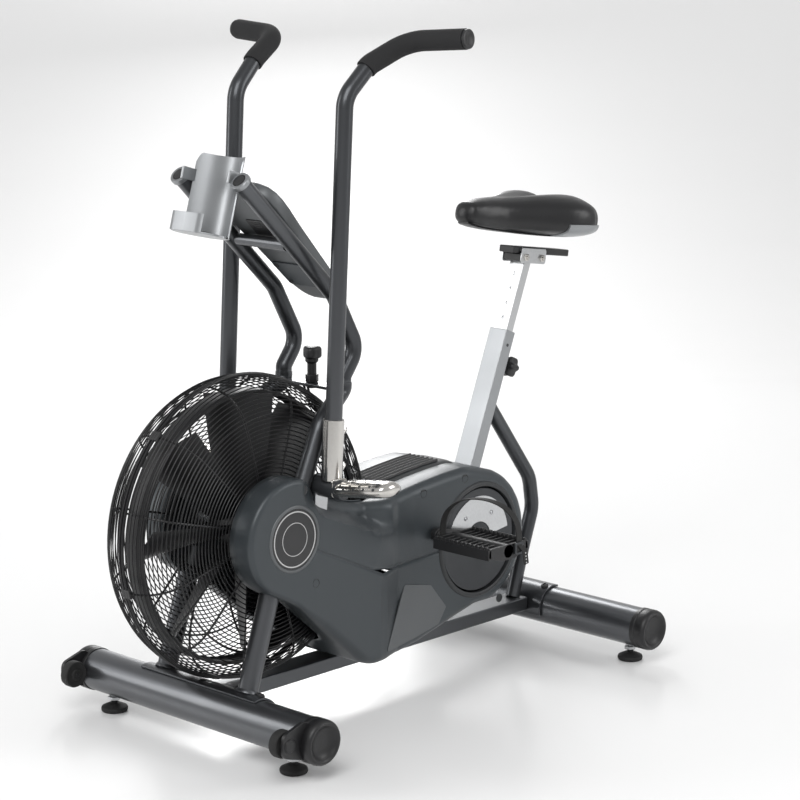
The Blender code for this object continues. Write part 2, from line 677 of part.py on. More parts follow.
def drive(paints):
    y0, y1 = BELT_Y
    outer = belt_loop(0.0024)
    inner = belt_loop(0.0005)
    count = len(outer)
    verts = [(p.x, y, p.y) for y in (y0, y1) for ring in (outer, inner) for p in ring]
    faces = []
    for i in range(count):
        k = (i + 1) % count
        faces += [(i, k, k + 2 * count, i + 2 * count),
                  (i + count, k + count, k + 3 * count, i + 3 * count)]
        faces += [(i, k, k + count, i + count), (i + 2 * count, k + 2 * count, k + 3 * count,
                                                 i + 3 * count)]
    node("drive_belt", paints["rubber"], (verts, faces))
    wheel = [(0.0093, y0 - 0.004), (0.020, y0 - 0.004), (0.020, y0 + 0.002), (PULLEY_R - 0.012, y0 + 0.002),
             (PULLEY_R - 0.010, y0 - 0.0004), (PULLEY_R, y0 - 0.0004), (PULLEY_R, y1 + 0.0004),
             (PULLEY_R - 0.010, y1 + 0.0004), (PULLEY_R - 0.012, y0 + 0.005), (0.0093, y0 + 0.005)]
    holes = []
    for i in range(4):
        t = 2 * math.pi * (i + 0.5) / 4
        spot = (CRANK_X + 0.046 * math.cos(t), CRANK_Z + 0.046 * math.sin(t))
        holes.append(rod((spot[0], y0 - 0.01, spot[1]), (spot[0], y1 + 0.01, spot[1]), 0.015, 8))
    node("crank_pulley", paints["black"], lathe(wheel, (CRANK_X, 0, CRANK_Z), (0, 1, 0), 20), cut=holes,
         origin=(CRANK_X, 0, CRANK_Z))
    shaft = [(0, -0.1320), (0.0090, -0.1320), (0.0090, 0.1320), (0, 0.1320)]
    node("crank_axle", paints["steel"], lathe(shaft, (CRANK_X, 0, CRANK_Z), (0, 1, 0), 20),
         origin=(CRANK_X, 0, CRANK_Z))


def pedal_axis(side):
    """Where the pedal spindle crosses the bike's side plane."""
    turn = CRANK_RISE if side == LEFT else CRANK_RISE + math.pi
    return CRANK_X - CRANK_LENGTH * math.cos(turn), CRANK_Z + CRANK_LENGTH * math.sin(turn)


def crank_side(side, paints):
    label = NAME_OF[side]
    centre = (CRANK_X, 0, CRANK_Z)
    way = (0, side, 0)
    disc = lathe([(0.0093, DISC_OUT - 0.003), (DISC_R, DISC_OUT - 0.003), (DISC_R, DISC_OUT - 0.0012),
                  (DISC_R - 0.0015, DISC_OUT), (0.0093, DISC_OUT)], centre, way, 28)
    pin_z = CRANK_Z - side * ECCENTRIC
    pin = rod((CRANK_X, side * (DISC_OUT - 0.0020), pin_z), (CRANK_X, side * 0.1043, pin_z), 0.0065, 12)
    node(f"{label}_crank_disc", paints["disc"], disc, add=[pin], origin=(CRANK_X, side * DISC_OUT, CRANK_Z))
    px, pz = pedal_axis(side)
    y0, y1 = 0.1165, 0.1305
    reach = Vector((px - CRANK_X, pz - CRANK_Z))
    direction = reach.normalized()
    normal = Vector((-direction.y, direction.x))
    outline = []
    for i in range(9):
        t = math.pi / 2 + math.pi * i / 8
        outline.append(Vector((CRANK_X,
                               CRANK_Z)) + direction * math.cos(t) * 0.0185 + normal * math.sin(t) * 0.0185)
    for i in range(9):
        t = -math.pi / 2 + math.pi * i / 8
        outline.append(Vector((px, pz)) + direction * math.cos(t) * 0.0135 + normal * math.sin(t) * 0.0135)
    arm = prism([tuple(p) for p in outline], *sorted((side * y0, side * y1)))
    boss = lathe([(0.0093, DISC_OUT + 0.0005), (0.0195, DISC_OUT + 0.0005), (0.0195, 0.131),
                  (0.017, 0.1335), (0.0093, 0.1335)],
                 centre, way, 14)
    bore = rod((CRANK_X, side * 0.10, CRANK_Z), (CRANK_X, side * 0.15, CRANK_Z), 0.0093, 14)
    spindle = lathe([(0, 0.126), (0.010, 0.126), (0.010, 0.1335), (0.0065, 0.1345),
                     (0.0055, PEDAL_Y[1] - 0.012),
                     (0, PEDAL_Y[1] - 0.012)], (px, 0, pz), way, 12)
    node(f"{label}_crank", paints["black"], arm, add=[boss, spindle], cut=[bore], origin=centre)


def pedal(side, paints):
    label = NAME_OF[side]
    px, pz = pedal_axis(side)
    origin = (px, side * 0.236, pz)
    half = 0.0575
    corners = [(-half, 0.004), (-half + 0.004, 0.0135), (half - 0.004, 0.0135), (half, 0.004),
               (half - 0.004, -0.004),
               (0.022, -0.016), (-0.022, -0.016), (-half + 0.004, -0.006)]
    outline = [(px + u, pz + v) for u, v in corners]
    low, high = sorted((side * PEDAL_Y[0], side * PEDAL_Y[1]))
    body = prism(outline, low, high)
    bore = rod((px, side * (PEDAL_Y[0] - 0.01), pz), (px, side * (PEDAL_Y[1] - 0.010), pz), 0.0070, 12)
    windows = []
    for u in (-0.036, 0.036):
        windows.append(box((px + u - 0.012, low + 0.020, pz - 0.03),
                           (px + u + 0.012, high - 0.020, pz + 0.03)))
    node(f"{label}_pedal", paints["black"], body, cut=[bore, *windows], origin=origin)
    inner, outer = PEDAL_Y[0] - 0.0024, PEDAL_Y[1] + 0.0024
    middle, reach = (inner + outer) / 2, (outer - inner) / 2
    skew = 0.026
    path = []
    for i in range(13):
        t = math.pi * i / 12
        bulge = 1.0 + 0.16 * math.sin(t)
        across = -math.cos(t) * bulge
        rise = 0.088 * math.sin(t) ** 0.8
        path.append((px + skew * across, middle + reach * across, pz + 0.002 + rise))
    path.insert(0, (path[0][0], inner, pz - 0.007))
    path.append((path[-1][0], outer, pz - 0.007))
    rings = []
    for i, (x, y, z) in enumerate(path):
        before = Vector(path[max(i - 1, 0)])
        after = Vector(path[min(i + 1, len(path) - 1)])
        tangent = (after - before).normalized()
        out = tangent.cross(Vector((1, 0, 0))).normalized() * 0.0012
        wide = Vector((0.0075, 0, 0))
        here = Vector((x, y, z))
        ring = [here - wide - out, here + wide - out, here + wide + out, here - wide + out]
        rings.append([(p.x, side * p.y, p.z) for p in ring])
    node(f"{label}_pedal_strap", paints["black"], loft(rings), origin=origin)


# ---------------------------------------------------------------- arms
def arm_point(x, z, y, side):
    """A point in an arm's own plane, turned to its leaning rest."""
    c, s = math.cos(ARM_LEAN), math.sin(ARM_LEAN)
    return PIVOT_X + x * c + z * s, side * y, PIVOT_Z - x * s + z * c


def arm(side, paints):
    label = NAME_OF[side]
    origin = (PIVOT_X, side * ARM_Y, PIVOT_Z)
    corners = [(0.0, 0.0250, ARM_Y), (0.0, 0.712, ARM_Y), (0.052, 0.770, ARM_Y + 0.006),
               (0.128, 0.8150, ARM_Y + 0.030),
               (0.1470, 0.8235, ARM_Y + 0.160)]
    path = bent([arm_point(*corner, side) for corner in corners], 0.055, 4)
    tube = sweep(path, ARM_R, 10, bore=ARM_R - 0.0022)
    node(f"{label}_arm", paints["frame"], tube, origin=origin)
    first = Vector(arm_point(0.0363, 0.7527, ARM_Y, side))
    start = min(range(len(path)), key=lambda i: (path[i] - first).length)
    cover = path[start:-1] + [path[-1] - (path[-1] - path[-2]).normalized() * 0.0004]
    sleeve = sweep(cover, ARM_R + 0.0035, 10, bore=ARM_R + 0.0003)
    node(f"{label}_grip", paints["foam"], sleeve, origin=origin)


def bracket(side, paints):
    """Pivot barrel, clamping sleeve, foot peg and lever of one arm, in one welded piece."""
    label = NAME_OF[side]
    origin = (PIVOT_X, side * ARM_Y, PIVOT_Z)
    barrel = lathe([(0.0098, 0.1065), (0.0185, 0.1065), (0.0185, 0.1765), (0.0160, 0.1785),
                    (0.0098, 0.1785)],
                   (PIVOT_X, 0, PIVOT_Z), (0, side, 0), 14)
    low = Vector(arm_point(0, 0.0145, ARM_Y, side))
    high = Vector(arm_point(0, 0.128, ARM_Y, side))
    length = (high - low).length
    socket = lathe([(0, 0), (0.0198, 0), (0.0198, length), (ARM_R + 0.0011, length),
                    (ARM_R + 0.0011, 0.0095), (0, 0.0095)],
                   low, high - low, 12)
    clamps = []
    for z in (0.040, 0.107):
        back = Vector(arm_point(0.0175, z, ARM_Y, side))
        out = Vector(arm_point(0.0335, z, ARM_Y, side))
        axis = out - back
        clamps.append(lathe([(0, 0), (0.0088, 0), (0.0088, 0.007), (0.0072, 0.0125), (0.0035, 0.0155),
                             (0, 0.016)], back, axis, 6))
    lever_end = arm_point(0, -LEVER, ARM_Y, side)
    shape = []
    for i in range(7):
        t = math.pi * i / 6
        shape.append((PIVOT_X + 0.0170 * math.cos(t), PIVOT_Z + 0.0170 * math.sin(t)))
    for i in range(7):
        t = math.pi + math.pi * i / 6
        shape.append((lever_end[0] + 0.0115 * math.cos(t), lever_end[2] + 0.0115 * math.sin(t)))
    lever = prism(shape, *sorted((side * 0.1140, side * 0.1195)))
    pin = lathe([(0, 0.0985), (0.0055, 0.0985), (0.0055, 0.1150), (0, 0.1150)],
                (lever_end[0], 0, lever_end[2]), (0, side, 0), 12)
    bore = rod((PIVOT_X, side * 0.10, PIVOT_Z), (PIVOT_X, side * 0.19, PIVOT_Z), 0.0098, 16)
    peg_way = Vector((0.10, side * 0.985, 0.12)).normalized()
    sections = []
    root = Vector((PIVOT_X + 0.008, side * 0.172, PIVOT_Z + 0.002))
    for along, half_x, half_z in ((0.0, 0.026, 0.0150), (0.015, 0.031, 0.0165), (0.085, 0.031, 0.0160),
                                  (0.105, 0.026, 0.0130),
                                  (0.113, 0.012, 0.0060)):
        ring = []
        for i in range(12):
            t = 2 * math.pi * i / 12
            ring.append(root + peg_way * along + Vector((half_x * math.cos(t), 0, half_z * math.sin(t))))
        sections.append(ring)
    peg = loft(sections)
    node(f"{label}_arm_bracket", paints["chrome"], barrel, add=[socket, *clamps, lever, pin, peg],
         cut=[bore], origin=origin)
    tip = Vector((CRANK_X, 0, CRANK_Z - side * ECCENTRIC))
    eye = Vector((lever_end[0], 0, lever_end[2]))
    line = Vector((tip.x - eye.x, tip.z - eye.z)).normalized()
    across = Vector((-line.y, line.x))
    outline = []
    for i in range(9):
        t = math.pi / 2 + math.pi * i / 8
        outline.append(Vector((eye.x, eye.z)) + (line * math.cos(t) + across * math.sin(t)) * 0.0120)
    outline += [Vector((eye.x, eye.z)) + line * 0.03 - across * 0.0065,
                Vector((tip.x, tip.z)) - line * 0.03 - across * 0.0065]
    for i in range(9):
        t = -math.pi / 2 + math.pi * i / 8
        outline.append(Vector((tip.x, tip.z)) + (line * math.cos(t) + across * math.sin(t)) * 0.0115)
    outline += [Vector((tip.x, tip.z)) - line * 0.03 + across * 0.0065,
                Vector((eye.x, eye.z)) + line * 0.03 + across * 0.0065]
    bar = prism([tuple(p) for p in outline], *sorted((side * ROD_Y[0], side * ROD_Y[1])))
    holes = [rod((eye.x, side * 0.09, eye.z), (eye.x, side * 0.11, eye.z), 0.0059, 12),
             rod((tip.x, side * 0.09, tip.z), (tip.x, side * 0.11, tip.z), 0.0069, 12)]
    node(f"{label}_drive_rod", paints["steel"], bar, cut=holes, origin=(eye.x, side * ROD_Y[0], eye.z),
         smooth=False)


# ---------------------------------------------------------------- seat
def seat_box(size, low, high):
    """A bar of the given section along the seat tube's leaning line, measured from its open top."""
    along = Vector((math.sin(SEAT_LEAN), 0, math.cos(SEAT_LEAN)))
    out = Vector((math.cos(SEAT_LEAN), 0, -math.sin(SEAT_LEAN)))
    rings = []
    for distance in (low, high):
        ring = []
        for u, v in ((-1, -1), (1, -1), (1, 1), (-1, 1)):
            ring.append(SEAT_TOP + along * distance + out * u * size[0] / 2 + Vector((0, v * size[1] / 2, 0)))
        rings.append(ring)
    return slab(*rings)


def seat_tube(paints):
    length = (SEAT_TOP.z - BEAM_TOP) / math.cos(SEAT_LEAN) - 0.0064
    shell = seat_box(SEAT_TUBE, -length, 0.0)
    bore = seat_box(SEAT_BORE, -length - 0.02, 0.02)
    along = Vector((math.sin(SEAT_LEAN), 0, math.cos(SEAT_LEAN)))
    out = Vector((math.cos(SEAT_LEAN), 0, -math.sin(SEAT_LEAN)))
    nearest = Vector((CRANK_X, 0, CRANK_Z)) - SEAT_TOP
    off = abs(nearest.dot(out)) - SEAT_TUBE[0] / 2
    bracket_shell = rod((CRANK_X, -0.034, CRANK_Z), (CRANK_X, 0.034, CRANK_Z), off + 0.0012, 24)
    bearing_bore = rod((CRANK_X, -0.040, CRANK_Z), (CRANK_X, 0.040, CRANK_Z), 0.0094, 20)
    spot = SEAT_TOP - along * 0.066
    pin_hole = rod(spot + out * 0.005, spot + out * 0.03, 0.0043, 12)
    node("seat_tube", paints["silver"], shell, add=[bracket_shell], cut=[bore, bearing_bore, pin_hole],
         smooth=False)
    corner = [(0.3990, 0, 0.5160), (0.5290, 0, 0.3450), (0.5400, 0, 0.2780), (0.5100, 0, 0.1960),
              (0.4790, 0, BEAM_TOP + GAP)]
    path = bent(corner, 0.07, 5)
    brace = sweep(path, 0.0150, 10)
    clear = seat_box((SEAT_TUBE[0] + 2 * GAP, 0.08), -0.35, 0.02)
    foot = box((0.44, -0.03, 0.05), (0.53, 0.03, BEAM_TOP + GAP))
    node("seat_brace", paints["frame"], brace, cut=[clear, foot])


def seat(paints):
    post = seat_box(POST, -0.245, POST_SHOWING)
    bore = seat_box((POST[0] - 0.004, POST[1] - 0.004), -0.26, POST_SHOWING - 0.006)
    along = Vector((math.sin(SEAT_LEAN), 0, math.cos(SEAT_LEAN)))
    head = SEAT_TOP + along * (POST_SHOWING - 0.004)
    cradle = turned(box((head.x - 0.030, -0.023, head.z - 0.006),
                        (head.x + 0.032, 0.023, head.z + 0.0085)), head, SADDLE_TILT)
    node("seat_post", paints["silver"], post, add=[cradle], cut=[bore], smooth=False, origin=head)
    top = head + Vector((0.008, 0, 0.0145))
    rail = turned(box((top.x - 0.058, -0.0200, top.z - 0.0050), (top.x + 0.118, 0.0200, top.z + 0.0090)),
                  head, SADDLE_TILT)
    lips = []
    for side in (LEFT, RIGHT):
        y0, y1 = sorted((side * 0.0236, side * 0.0265))
        cheek = box((top.x - 0.040, y0, top.z - 0.0250), (top.x + 0.038, y1, top.z + 0.0070))
        lips.append(turned(cheek, head, SADDLE_TILT))
        y2, y3 = sorted((side * 0.0180, side * 0.0262))
        web = box((top.x - 0.040, y2, top.z - 0.0005), (top.x + 0.038, y3, top.z + 0.0070))
        lips.append(turned(web, head, SADDLE_TILT))
    node("saddle_slider", paints["black"], rail, add=lips, smooth=False, origin=head)


def saddle_sections():
    """Station along the saddle, half width, underside, side height, lobe height and channel depth."""
    return (
        (0.0000, 0.0100, 0.026, 0.034, 0.043, 0.000),
        (0.0060, 0.0215, 0.019, 0.036, 0.054, 0.000),
        (0.0250, 0.0310, 0.013, 0.038, 0.063, 0.000),
        (0.0600, 0.0370, 0.009, 0.038, 0.069, 0.000),
        (0.1000, 0.0480, 0.007, 0.038, 0.073, 0.001),
        (0.1400, 0.0700, 0.006, 0.038, 0.079, 0.004),
        (0.1800, 0.0980, 0.005, 0.040, 0.086, 0.008),
        (0.2150, 0.1180, 0.005, 0.042, 0.091, 0.012),
        (0.2450, 0.1260, 0.006, 0.044, 0.093, 0.014),
        (0.2750, 0.1240, 0.009, 0.045, 0.089, 0.013),
        (0.2980, 0.1080, 0.014, 0.044, 0.078, 0.011),
        (0.3100, 0.0800, 0.022, 0.042, 0.062, 0.006),
    )


def saddle(paints):
    """The padded seat: narrow nose, two broad lobes behind with a channel between them."""
    start = Vector((0.312, 0.0, 0.9130))
    sections = []
    for x, half, low, side_z, lobe, channel in saddle_sections():
        ring = []
        for i in range(24):
            t = 2 * math.pi * i / 24
            y = half * math.copysign(abs(math.cos(t)) ** 0.75, math.cos(t))
            if math.sin(t) >= 0:
                dip = channel * max(0.0, 1 - (y / (0.35 * half)) ** 2)
                z = side_z + (lobe - side_z) * math.sin(t) ** 0.7 - dip
            else:
                z = side_z + (low - side_z) * (-math.sin(t)) ** 0.55
            ring.append((start.x + x, y, start.z - 0.030 + z))
        sections.append(ring)
    shape = turned(loft(sections), (start.x, 0, start.z), SADDLE_TILT)
    node("saddle", paints["vinyl"], shape, origin=(0.46, 0, 0.90))


# ---------------------------------------------------------------- shroud
SHROUD_SPINE = ((-0.294, 0.386), (-0.05, 0.275), (0.2465, 0.282))


def shroud_outline():
    """The shroud's edge as seen from the side, going round from the front."""
    points = []
    for i in range(11):
        t = math.radians(180 - 130 * i / 10)
        points.append((FAN_X + 0.110 * math.cos(t), FAN_Z + 0.110 * math.sin(t)))
    points += [(-0.196, 0.4510), (-0.150, 0.4320), (-0.100, 0.4170), (-0.060, 0.4110), (-0.032, 0.4100),
               (-0.016, 0.4108),
               (-0.006, 0.4118), (0.004, 0.4130), (0.040, 0.4172), (0.100, 0.4248), (0.160,
                                                                                     0.4308), (0.215,
                                                                                               0.4335)]
    for i in range(12):
        t = math.radians(82 - 154 * i / 11)
        points.append((CRANK_X + 0.142 * math.cos(t) + 0.002, CRANK_Z + 0.141 * math.sin(t)))
    points += [(0.245, 0.1470), (0.190, 0.1340), (0.130, 0.1180), (0.070, 0.1030), (0.020, 0.0970),
               (-0.035, 0.0965),
               (-0.075, 0.0990), (-0.105, 0.1090), (-0.1180, 0.1198), (-0.1270, 0.1280), (-0.1370,
                                                                                          0.1368), (-0.160,
                                                                                                    0.1565),
               (-0.200, 0.1900), (-0.240, 0.2235), (-0.282, 0.2600)]
    for i in range(5):
        t = math.radians(250 - 56 * i / 4)
        points.append((FAN_X + 0.110 * math.cos(t), FAN_Z + 0.110 * math.sin(t)))
    return points


def shroud_width(x, z):
    """Half the width of the housing over a point of its side."""
    wide = float(np.interp(x, (-0.41, -0.24, -0.06, -0.035, 0.010, 0.06, 0.40),
                           (0.146, 0.146, 0.137, 0.131, 0.115, 0.1115, 0.1115)))
    fold = float(np.interp(x, (-0.240, -0.222, -0.038), (0.440, 0.420, 0.347)))
    fade = float(np.interp(x, (-0.270, -0.205, -0.075, -0.015), (0, 1, 1, 0)))
    wide -= fade * min(0.036, max(0.0, z - fold) * 1.5)
    return max(wide, 0.060)


def spine_point(x, z):
    best = None
    for (ax, az), (bx, bz) in zip(SHROUD_SPINE, SHROUD_SPINE[1:]):
        dx, dz = bx - ax, bz - az
        t = min(1.0, max(0.0, ((x - ax) * dx + (z - az) * dz) / (dx * dx + dz * dz)))
        px, pz = ax + t * dx, az + t * dz
        distance = math.hypot(x - px, z - pz)
        if best is None or distance < best[0]:
            best = (distance, px, pz)
    return best[1], best[2]


def across(ring):
    """Triangles that fill a long narrow ring, each reaching from one long side to the other."""
    count = len(ring)
    left = min(range(count), key=lambda i: ring[i][0])
    right = max(range(count), key=lambda i: ring[i][0])
    above, below = [left], [left]
    while above[-1] != right:
        above.append((above[-1] + 1) % count)
    while below[-1] != right:
        below.append((below[-1] - 1) % count)
    triangles, i, j = [], 0, 0
    while i < len(above) - 1 or j < len(below) - 1:
        spare = i < len(above) - 1
        if spare and (j == len(below) - 1 or ring[above[i + 1]][0] <= ring[below[j + 1]][0]):
            triangles.append((above[i], above[i + 1], below[j]))
            i += 1
        else:
            triangles.append((above[i], below[j + 1], below[j]))
            j += 1
    return [triangle for triangle in triangles if len(set(triangle)) == 3]


def shroud_half(side):
    outline = shroud_outline()
    steps = (1.0, 0.98, 0.94, 0.87, 0.62, 0.34, 0.10)
    wall = 0.0028

    def layer(inset):
        grid = []
        for step in steps:
            row = []
            for x, z in outline:
                cx, cz = spine_point(x, z)
                length = math.hypot(x - cx, z - cz)
                scale = step * (1 - inset / length)
                px, pz = cx + (x - cx) * scale, cz + (z - cz) * scale
                radius = math.hypot(x - FAN_X, z - FAN_Z)
                rim = guard_depth(radius) + 0.0070 if radius < GUARD_R else GAP / 2
                corner = 0.022 / length
                rise = min(1.0, (1 - step) / corner)
                full = max(shroud_width(px, pz), rim + 0.016) - 1.5 * inset
                y = rim + (full - rim) * math.sqrt(max(0.0, 1 - (1 - rise) ** 2))
                row.append((px, side * y, pz))
            grid.append(row)
        return np.array(grid)

    outer, inner = layer(0.0), layer(wall)
    rows, columns = outer.shape[:2]
    solid = [[True] * columns for _ in range(rows - 1)]
    verts, faces = slotted_shell(outer, inner, solid, True)
    base, count = (rows - 1) * columns, rows * columns
    faces = [f for f in faces if not (set(f) <= set(range(base, count)) | set(range(base + count,
                                                                                    2 * count)))]
    for triangle in across(outer[-1]):
        faces.append(tuple(base + i for i in triangle))
        faces.append(tuple(base + count + i for i in triangle))
    return verts, faces


def shroud(paints):
    for side in (LEFT, RIGHT):
        shell = shroud_half(side)
        centre = (CRANK_X, 0, CRANK_Z)
        rim = lathe([(DISC_R - 0.004, 0.1100), (DISC_R + 0.0140, 0.1100), (DISC_R + 0.0105, 0.1145),
                     (DISC_R - 0.004, 0.1145)],
                    centre, (0, side, 0), 24)
        mouth = rod((CRANK_X, side * 0.085, CRANK_Z), (CRANK_X, side * 0.13, CRANK_Z), DISC_R + 0.0034, 24)
        seat_way = seat_box((SEAT_TUBE[0] + 0.003, SEAT_TUBE[1] + 0.003), -0.66, -0.15)
        strut = rod((FRONT_X + 0.002, side * 0.111, TUBE_Z + 0.02), (-0.3085, side * 0.111, 0.335), 0.0208,
                    14)
        upright = rod((-0.2610, side * 0.1045, 0.4145), (-0.182, side * 0.1034, 0.593), 0.0185, 14)
        low, high = sorted((side * 0.1115, side * 0.1220))
        lever_slot = box((PIVOT_X - 0.050, low, 0.380), (PIVOT_X + 0.044, high, 0.470))
        low, high = sorted((side * 0.0985, side * 0.1078))
        plate_slot = box((-0.272, low, 0.400), (-0.168, high, 0.500))
        barrel = rod((PIVOT_X, side * 0.1000, PIVOT_Z), (PIVOT_X, side * 0.185, PIVOT_Z), 0.0215, 18)
        cable = rod((0.004, 0, 0.38), (0.0, 0.010, 0.45), 0.0065, 10)
        node(f"{NAME_OF[side]}_shroud", paints["shroud"], shell, add=[rim],
             cut=[mouth, seat_way, strut, upright, lever_slot, plate_slot, barrel, cable])
    outline = shroud_outline()
    top = [(x, z) for x, z in outline if 0.012 < x < 0.24 and z > 0.40]
    low = [(x, z + 0.0006) for x, z in top]
    high = [(x, z + 0.0050) for x, z in reversed(top)]
    strip = prism(low + high, -0.046, 0.046)
    slots = []
    for i in range(7):
        y = -0.036 + 0.012 * i
        slots.append(box((0.040, y - 0.0026, 0.40), (0.200, y + 0.0026, 0.45)))
    node("vent_cap", paints["black"], strip, cut=slots, smooth=False)


# ---------------------------------------------------------------- assembly
def build():
    clear_scene()
    paints = make_materials()
    base_frame(paints)
    quarter = math.pi / 2
    saddle_plate("front_saddle_plate", FRONT_X, -0.35, quarter + 0.35, -0.164, 0.150, paints["frame"])
    saddle_plate("rear_saddle_plate", REAR_X, quarter - 0.35, math.pi + 0.35, -0.060, 0.060,
                 paints["frame"])
    for side in (LEFT, RIGHT):
        label = NAME_OF[side]
        end_cap(f"front_{label}_end_cap", FRONT_X, side, paints, True)
        end_cap(f"rear_{label}_end_cap", REAR_X, side, paints, False)
        transport_wheel(side, paints)
        levelling_foot(f"front_{label}_foot", FRONT_X, side * FRONT_FOOT_Y, paints)
        levelling_foot(f"rear_{label}_foot", REAR_X, side * REAR_FOOT_Y, paints)
        fork(side, paints)
        guard(side, paints)
        crank_side(side, paints)
        pedal(side, paints)
        arm(side, paints)
        bracket(side, paints)
    mast(paints)
    knobs(paints)
    console(paints)
    bottle_holder(paints)
    console_cable(paints)
    fan(paints)
    drive(paints)
    seat_tube(paints)
    seat(paints)
    saddle(paints)
    shroud(paints)


build()
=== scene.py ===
# %% [markdown]
# # Air bike
# A fan-braked exercise bike. The rider turns pedals and pushes two swinging arms; both drive a caged fan
# at the front, and the air it throws is the only brake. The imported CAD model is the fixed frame: it says
# how big every piece is and which body it moves with. Each cell below dresses one group of pieces.

import math

import bmesh
import bpy
import numpy as np
from mathutils import Matrix, Vector


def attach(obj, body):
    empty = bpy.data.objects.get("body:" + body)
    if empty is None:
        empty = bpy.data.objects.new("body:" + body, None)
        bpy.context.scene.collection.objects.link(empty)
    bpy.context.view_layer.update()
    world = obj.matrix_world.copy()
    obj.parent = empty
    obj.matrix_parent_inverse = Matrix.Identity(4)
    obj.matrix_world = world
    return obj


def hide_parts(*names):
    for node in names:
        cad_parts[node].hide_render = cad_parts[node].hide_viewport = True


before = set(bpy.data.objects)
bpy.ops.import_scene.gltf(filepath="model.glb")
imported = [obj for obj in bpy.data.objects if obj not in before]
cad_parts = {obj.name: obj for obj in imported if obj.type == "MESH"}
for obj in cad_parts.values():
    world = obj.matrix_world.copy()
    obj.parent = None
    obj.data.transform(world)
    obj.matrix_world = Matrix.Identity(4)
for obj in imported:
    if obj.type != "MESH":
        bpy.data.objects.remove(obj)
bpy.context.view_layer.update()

# %% Sizes shared with the frame
GAP = 0.0003
MIDDLE_X = 0.02676
TUBE_Z = 0.073
FRONT_X = -0.399
REAR_X = 0.5425
STABILISER_R = 0.040
STABILISER_HALF = 0.2925
CAP_END = 0.329
FRONT_FOOT_Y = 0.248
REAR_FOOT_Y = 0.2665
BEAM_LOW = 0.0660
BEAM_TOP = 0.0950
BEAM_HALF_Y = 0.0275
FAN_X = -0.294
FAN_Z = 0.390
FAN_R = 0.257
GUARD_R = 0.287
CRANK_X = 0.2465
CRANK_Z = 0.282
CRANK_LENGTH = 0.140
CRANK_RISE = math.radians(15.5)
DISC_R = 0.104
DISC_OUT = 0.110
PEDAL_Y = (0.165, 0.307)
ECCENTRIC = 0.027
PIVOT_X = -0.1976
PIVOT_Z = 0.4686
ARM_Y = 0.144
ARM_LEAN = math.radians(3.2)
ARM_R = 0.0158
LEVER = 0.120
SEAT_LEAN = math.radians(21.8)
SEAT_TOP = Vector((0.441, 0.0, 0.668))
SEAT_TUBE = (0.028, 0.046)
SEAT_BORE = (0.0215, 0.0385)
POST = (0.0205, 0.0375)
POST_SHOWING = 0.158
SADDLE_TILT = math.radians(8.0)
MAST_R = 0.0155
MAST_Y = 0.080
MAST_TOP = (-0.351, 1.0345)
LEFT, RIGHT = -1, 1
NAME_OF = {LEFT: "left", RIGHT: "right"}
LOW_BEND = Vector((-0.125, 0, 0.812))
MAST_END = Vector((MAST_TOP[0], 0, MAST_TOP[1]))
UP_MAST = (MAST_END - LOW_BEND).normalized()

# %% [markdown]
# ## Shape helpers
# Most of the bike is turned, bent from tube or pressed from sheet, so three ways of making a surface cover
# it: turning a profile round an axis, sweeping a circle along a bent line, and skinning a row of sections.

# %% Turning, bending and skinning
def frame_of(direction):
    """A direction's unit vector and two more at right angles to it."""
    axis = Vector(direction).normalized()
    side = Vector((0, 1, 0)) if abs(axis.y) < 0.9 else Vector((1, 0, 0))
    first = (side - axis * side.dot(axis)).normalized()
    return axis, first, axis.cross(first)


def box(low, high):
    (a, b, c), (d, e, f) = low, high
    verts = [(x, y, z) for x in (a, d) for y in (b, e) for z in (c, f)]
    faces = [(0, 1, 3, 2), (4, 6, 7, 5), (0, 4, 5, 1), (2, 3, 7, 6), (0, 2, 6, 4), (1, 5, 7, 3)]
    return verts, faces


def turned(shape, centre, angle):
    """The shape turned about the Y axis through a point; positive lifts the -X end."""
    spin = Matrix.Rotation(angle, 4, "Y")
    middle = Vector(centre)
    return [middle + spin @ (Vector(v) - middle) for v in shape[0]], shape[1]


def lathe(profile, centre, direction, segments=24):
    """Turns (radius, distance along the axis) points round the axis; the ends lie on it or meet."""
    axis, first, second = frame_of(direction)
    middle = Vector(centre)
    verts, rows = [], []
    for radius, along in profile:
        row = []
        count = 1 if radius < 1e-7 else segments
        for j in range(count):
            turn = 2 * math.pi * j / segments
            offset = first * math.cos(turn) * radius + second * math.sin(turn) * radius
            row.append(len(verts))
            verts.append(middle + axis * along + offset)
        rows.append(row)
    closed = len(rows[0]) > 1
    faces = []
    pairs = list(zip(rows, rows[1:])) + ([(rows[-1], rows[0])] if closed else [])
    for low, high in pairs:
        for j in range(segments):
            k = (j + 1) % segments
            corners = [low[j % len(low)], low[k % len(low)], high[k % len(high)], high[j % len(high)]]
            faces.append(tuple(dict.fromkeys(corners)))
    return verts, faces


def rod(start, end, radius, segments=16, end_radius=None):
    length = (Vector(end) - Vector(start)).length
    last = radius if end_radius is None else end_radius
    profile = [(0, 0), (radius, 0), (last, length), (0, length)]
    return lathe(profile, start, Vector(end) - Vector(start), segments)


def bent(corners, bend, steps=4):
    """A path through the corners, each inner corner rounded to the bend radius."""
    points = [Vector(corners[0])]
    for before, corner, after in zip(corners, corners[1:], corners[2:]):
        corner = Vector(corner)
        back = (Vector(before) - corner).normalized()
        on = (Vector(after) - corner).normalized()
        half = back.angle(on) / 2
        reach = bend / math.tan(half)
        reach = min(reach, 0.46 * min((Vector(before) - corner).length, (Vector(after) - corner).length))
        radius = reach * math.tan(half)
        middle = corner + (back + on).normalized() * radius / math.sin(half)
        start = (corner + back * reach - middle).normalized()
        finish = (corner + on * reach - middle).normalized()
        for i in range(steps + 1):
            points.append(middle + start.slerp(finish, i / steps) * radius)
    points.append(Vector(corners[-1]))
    return points


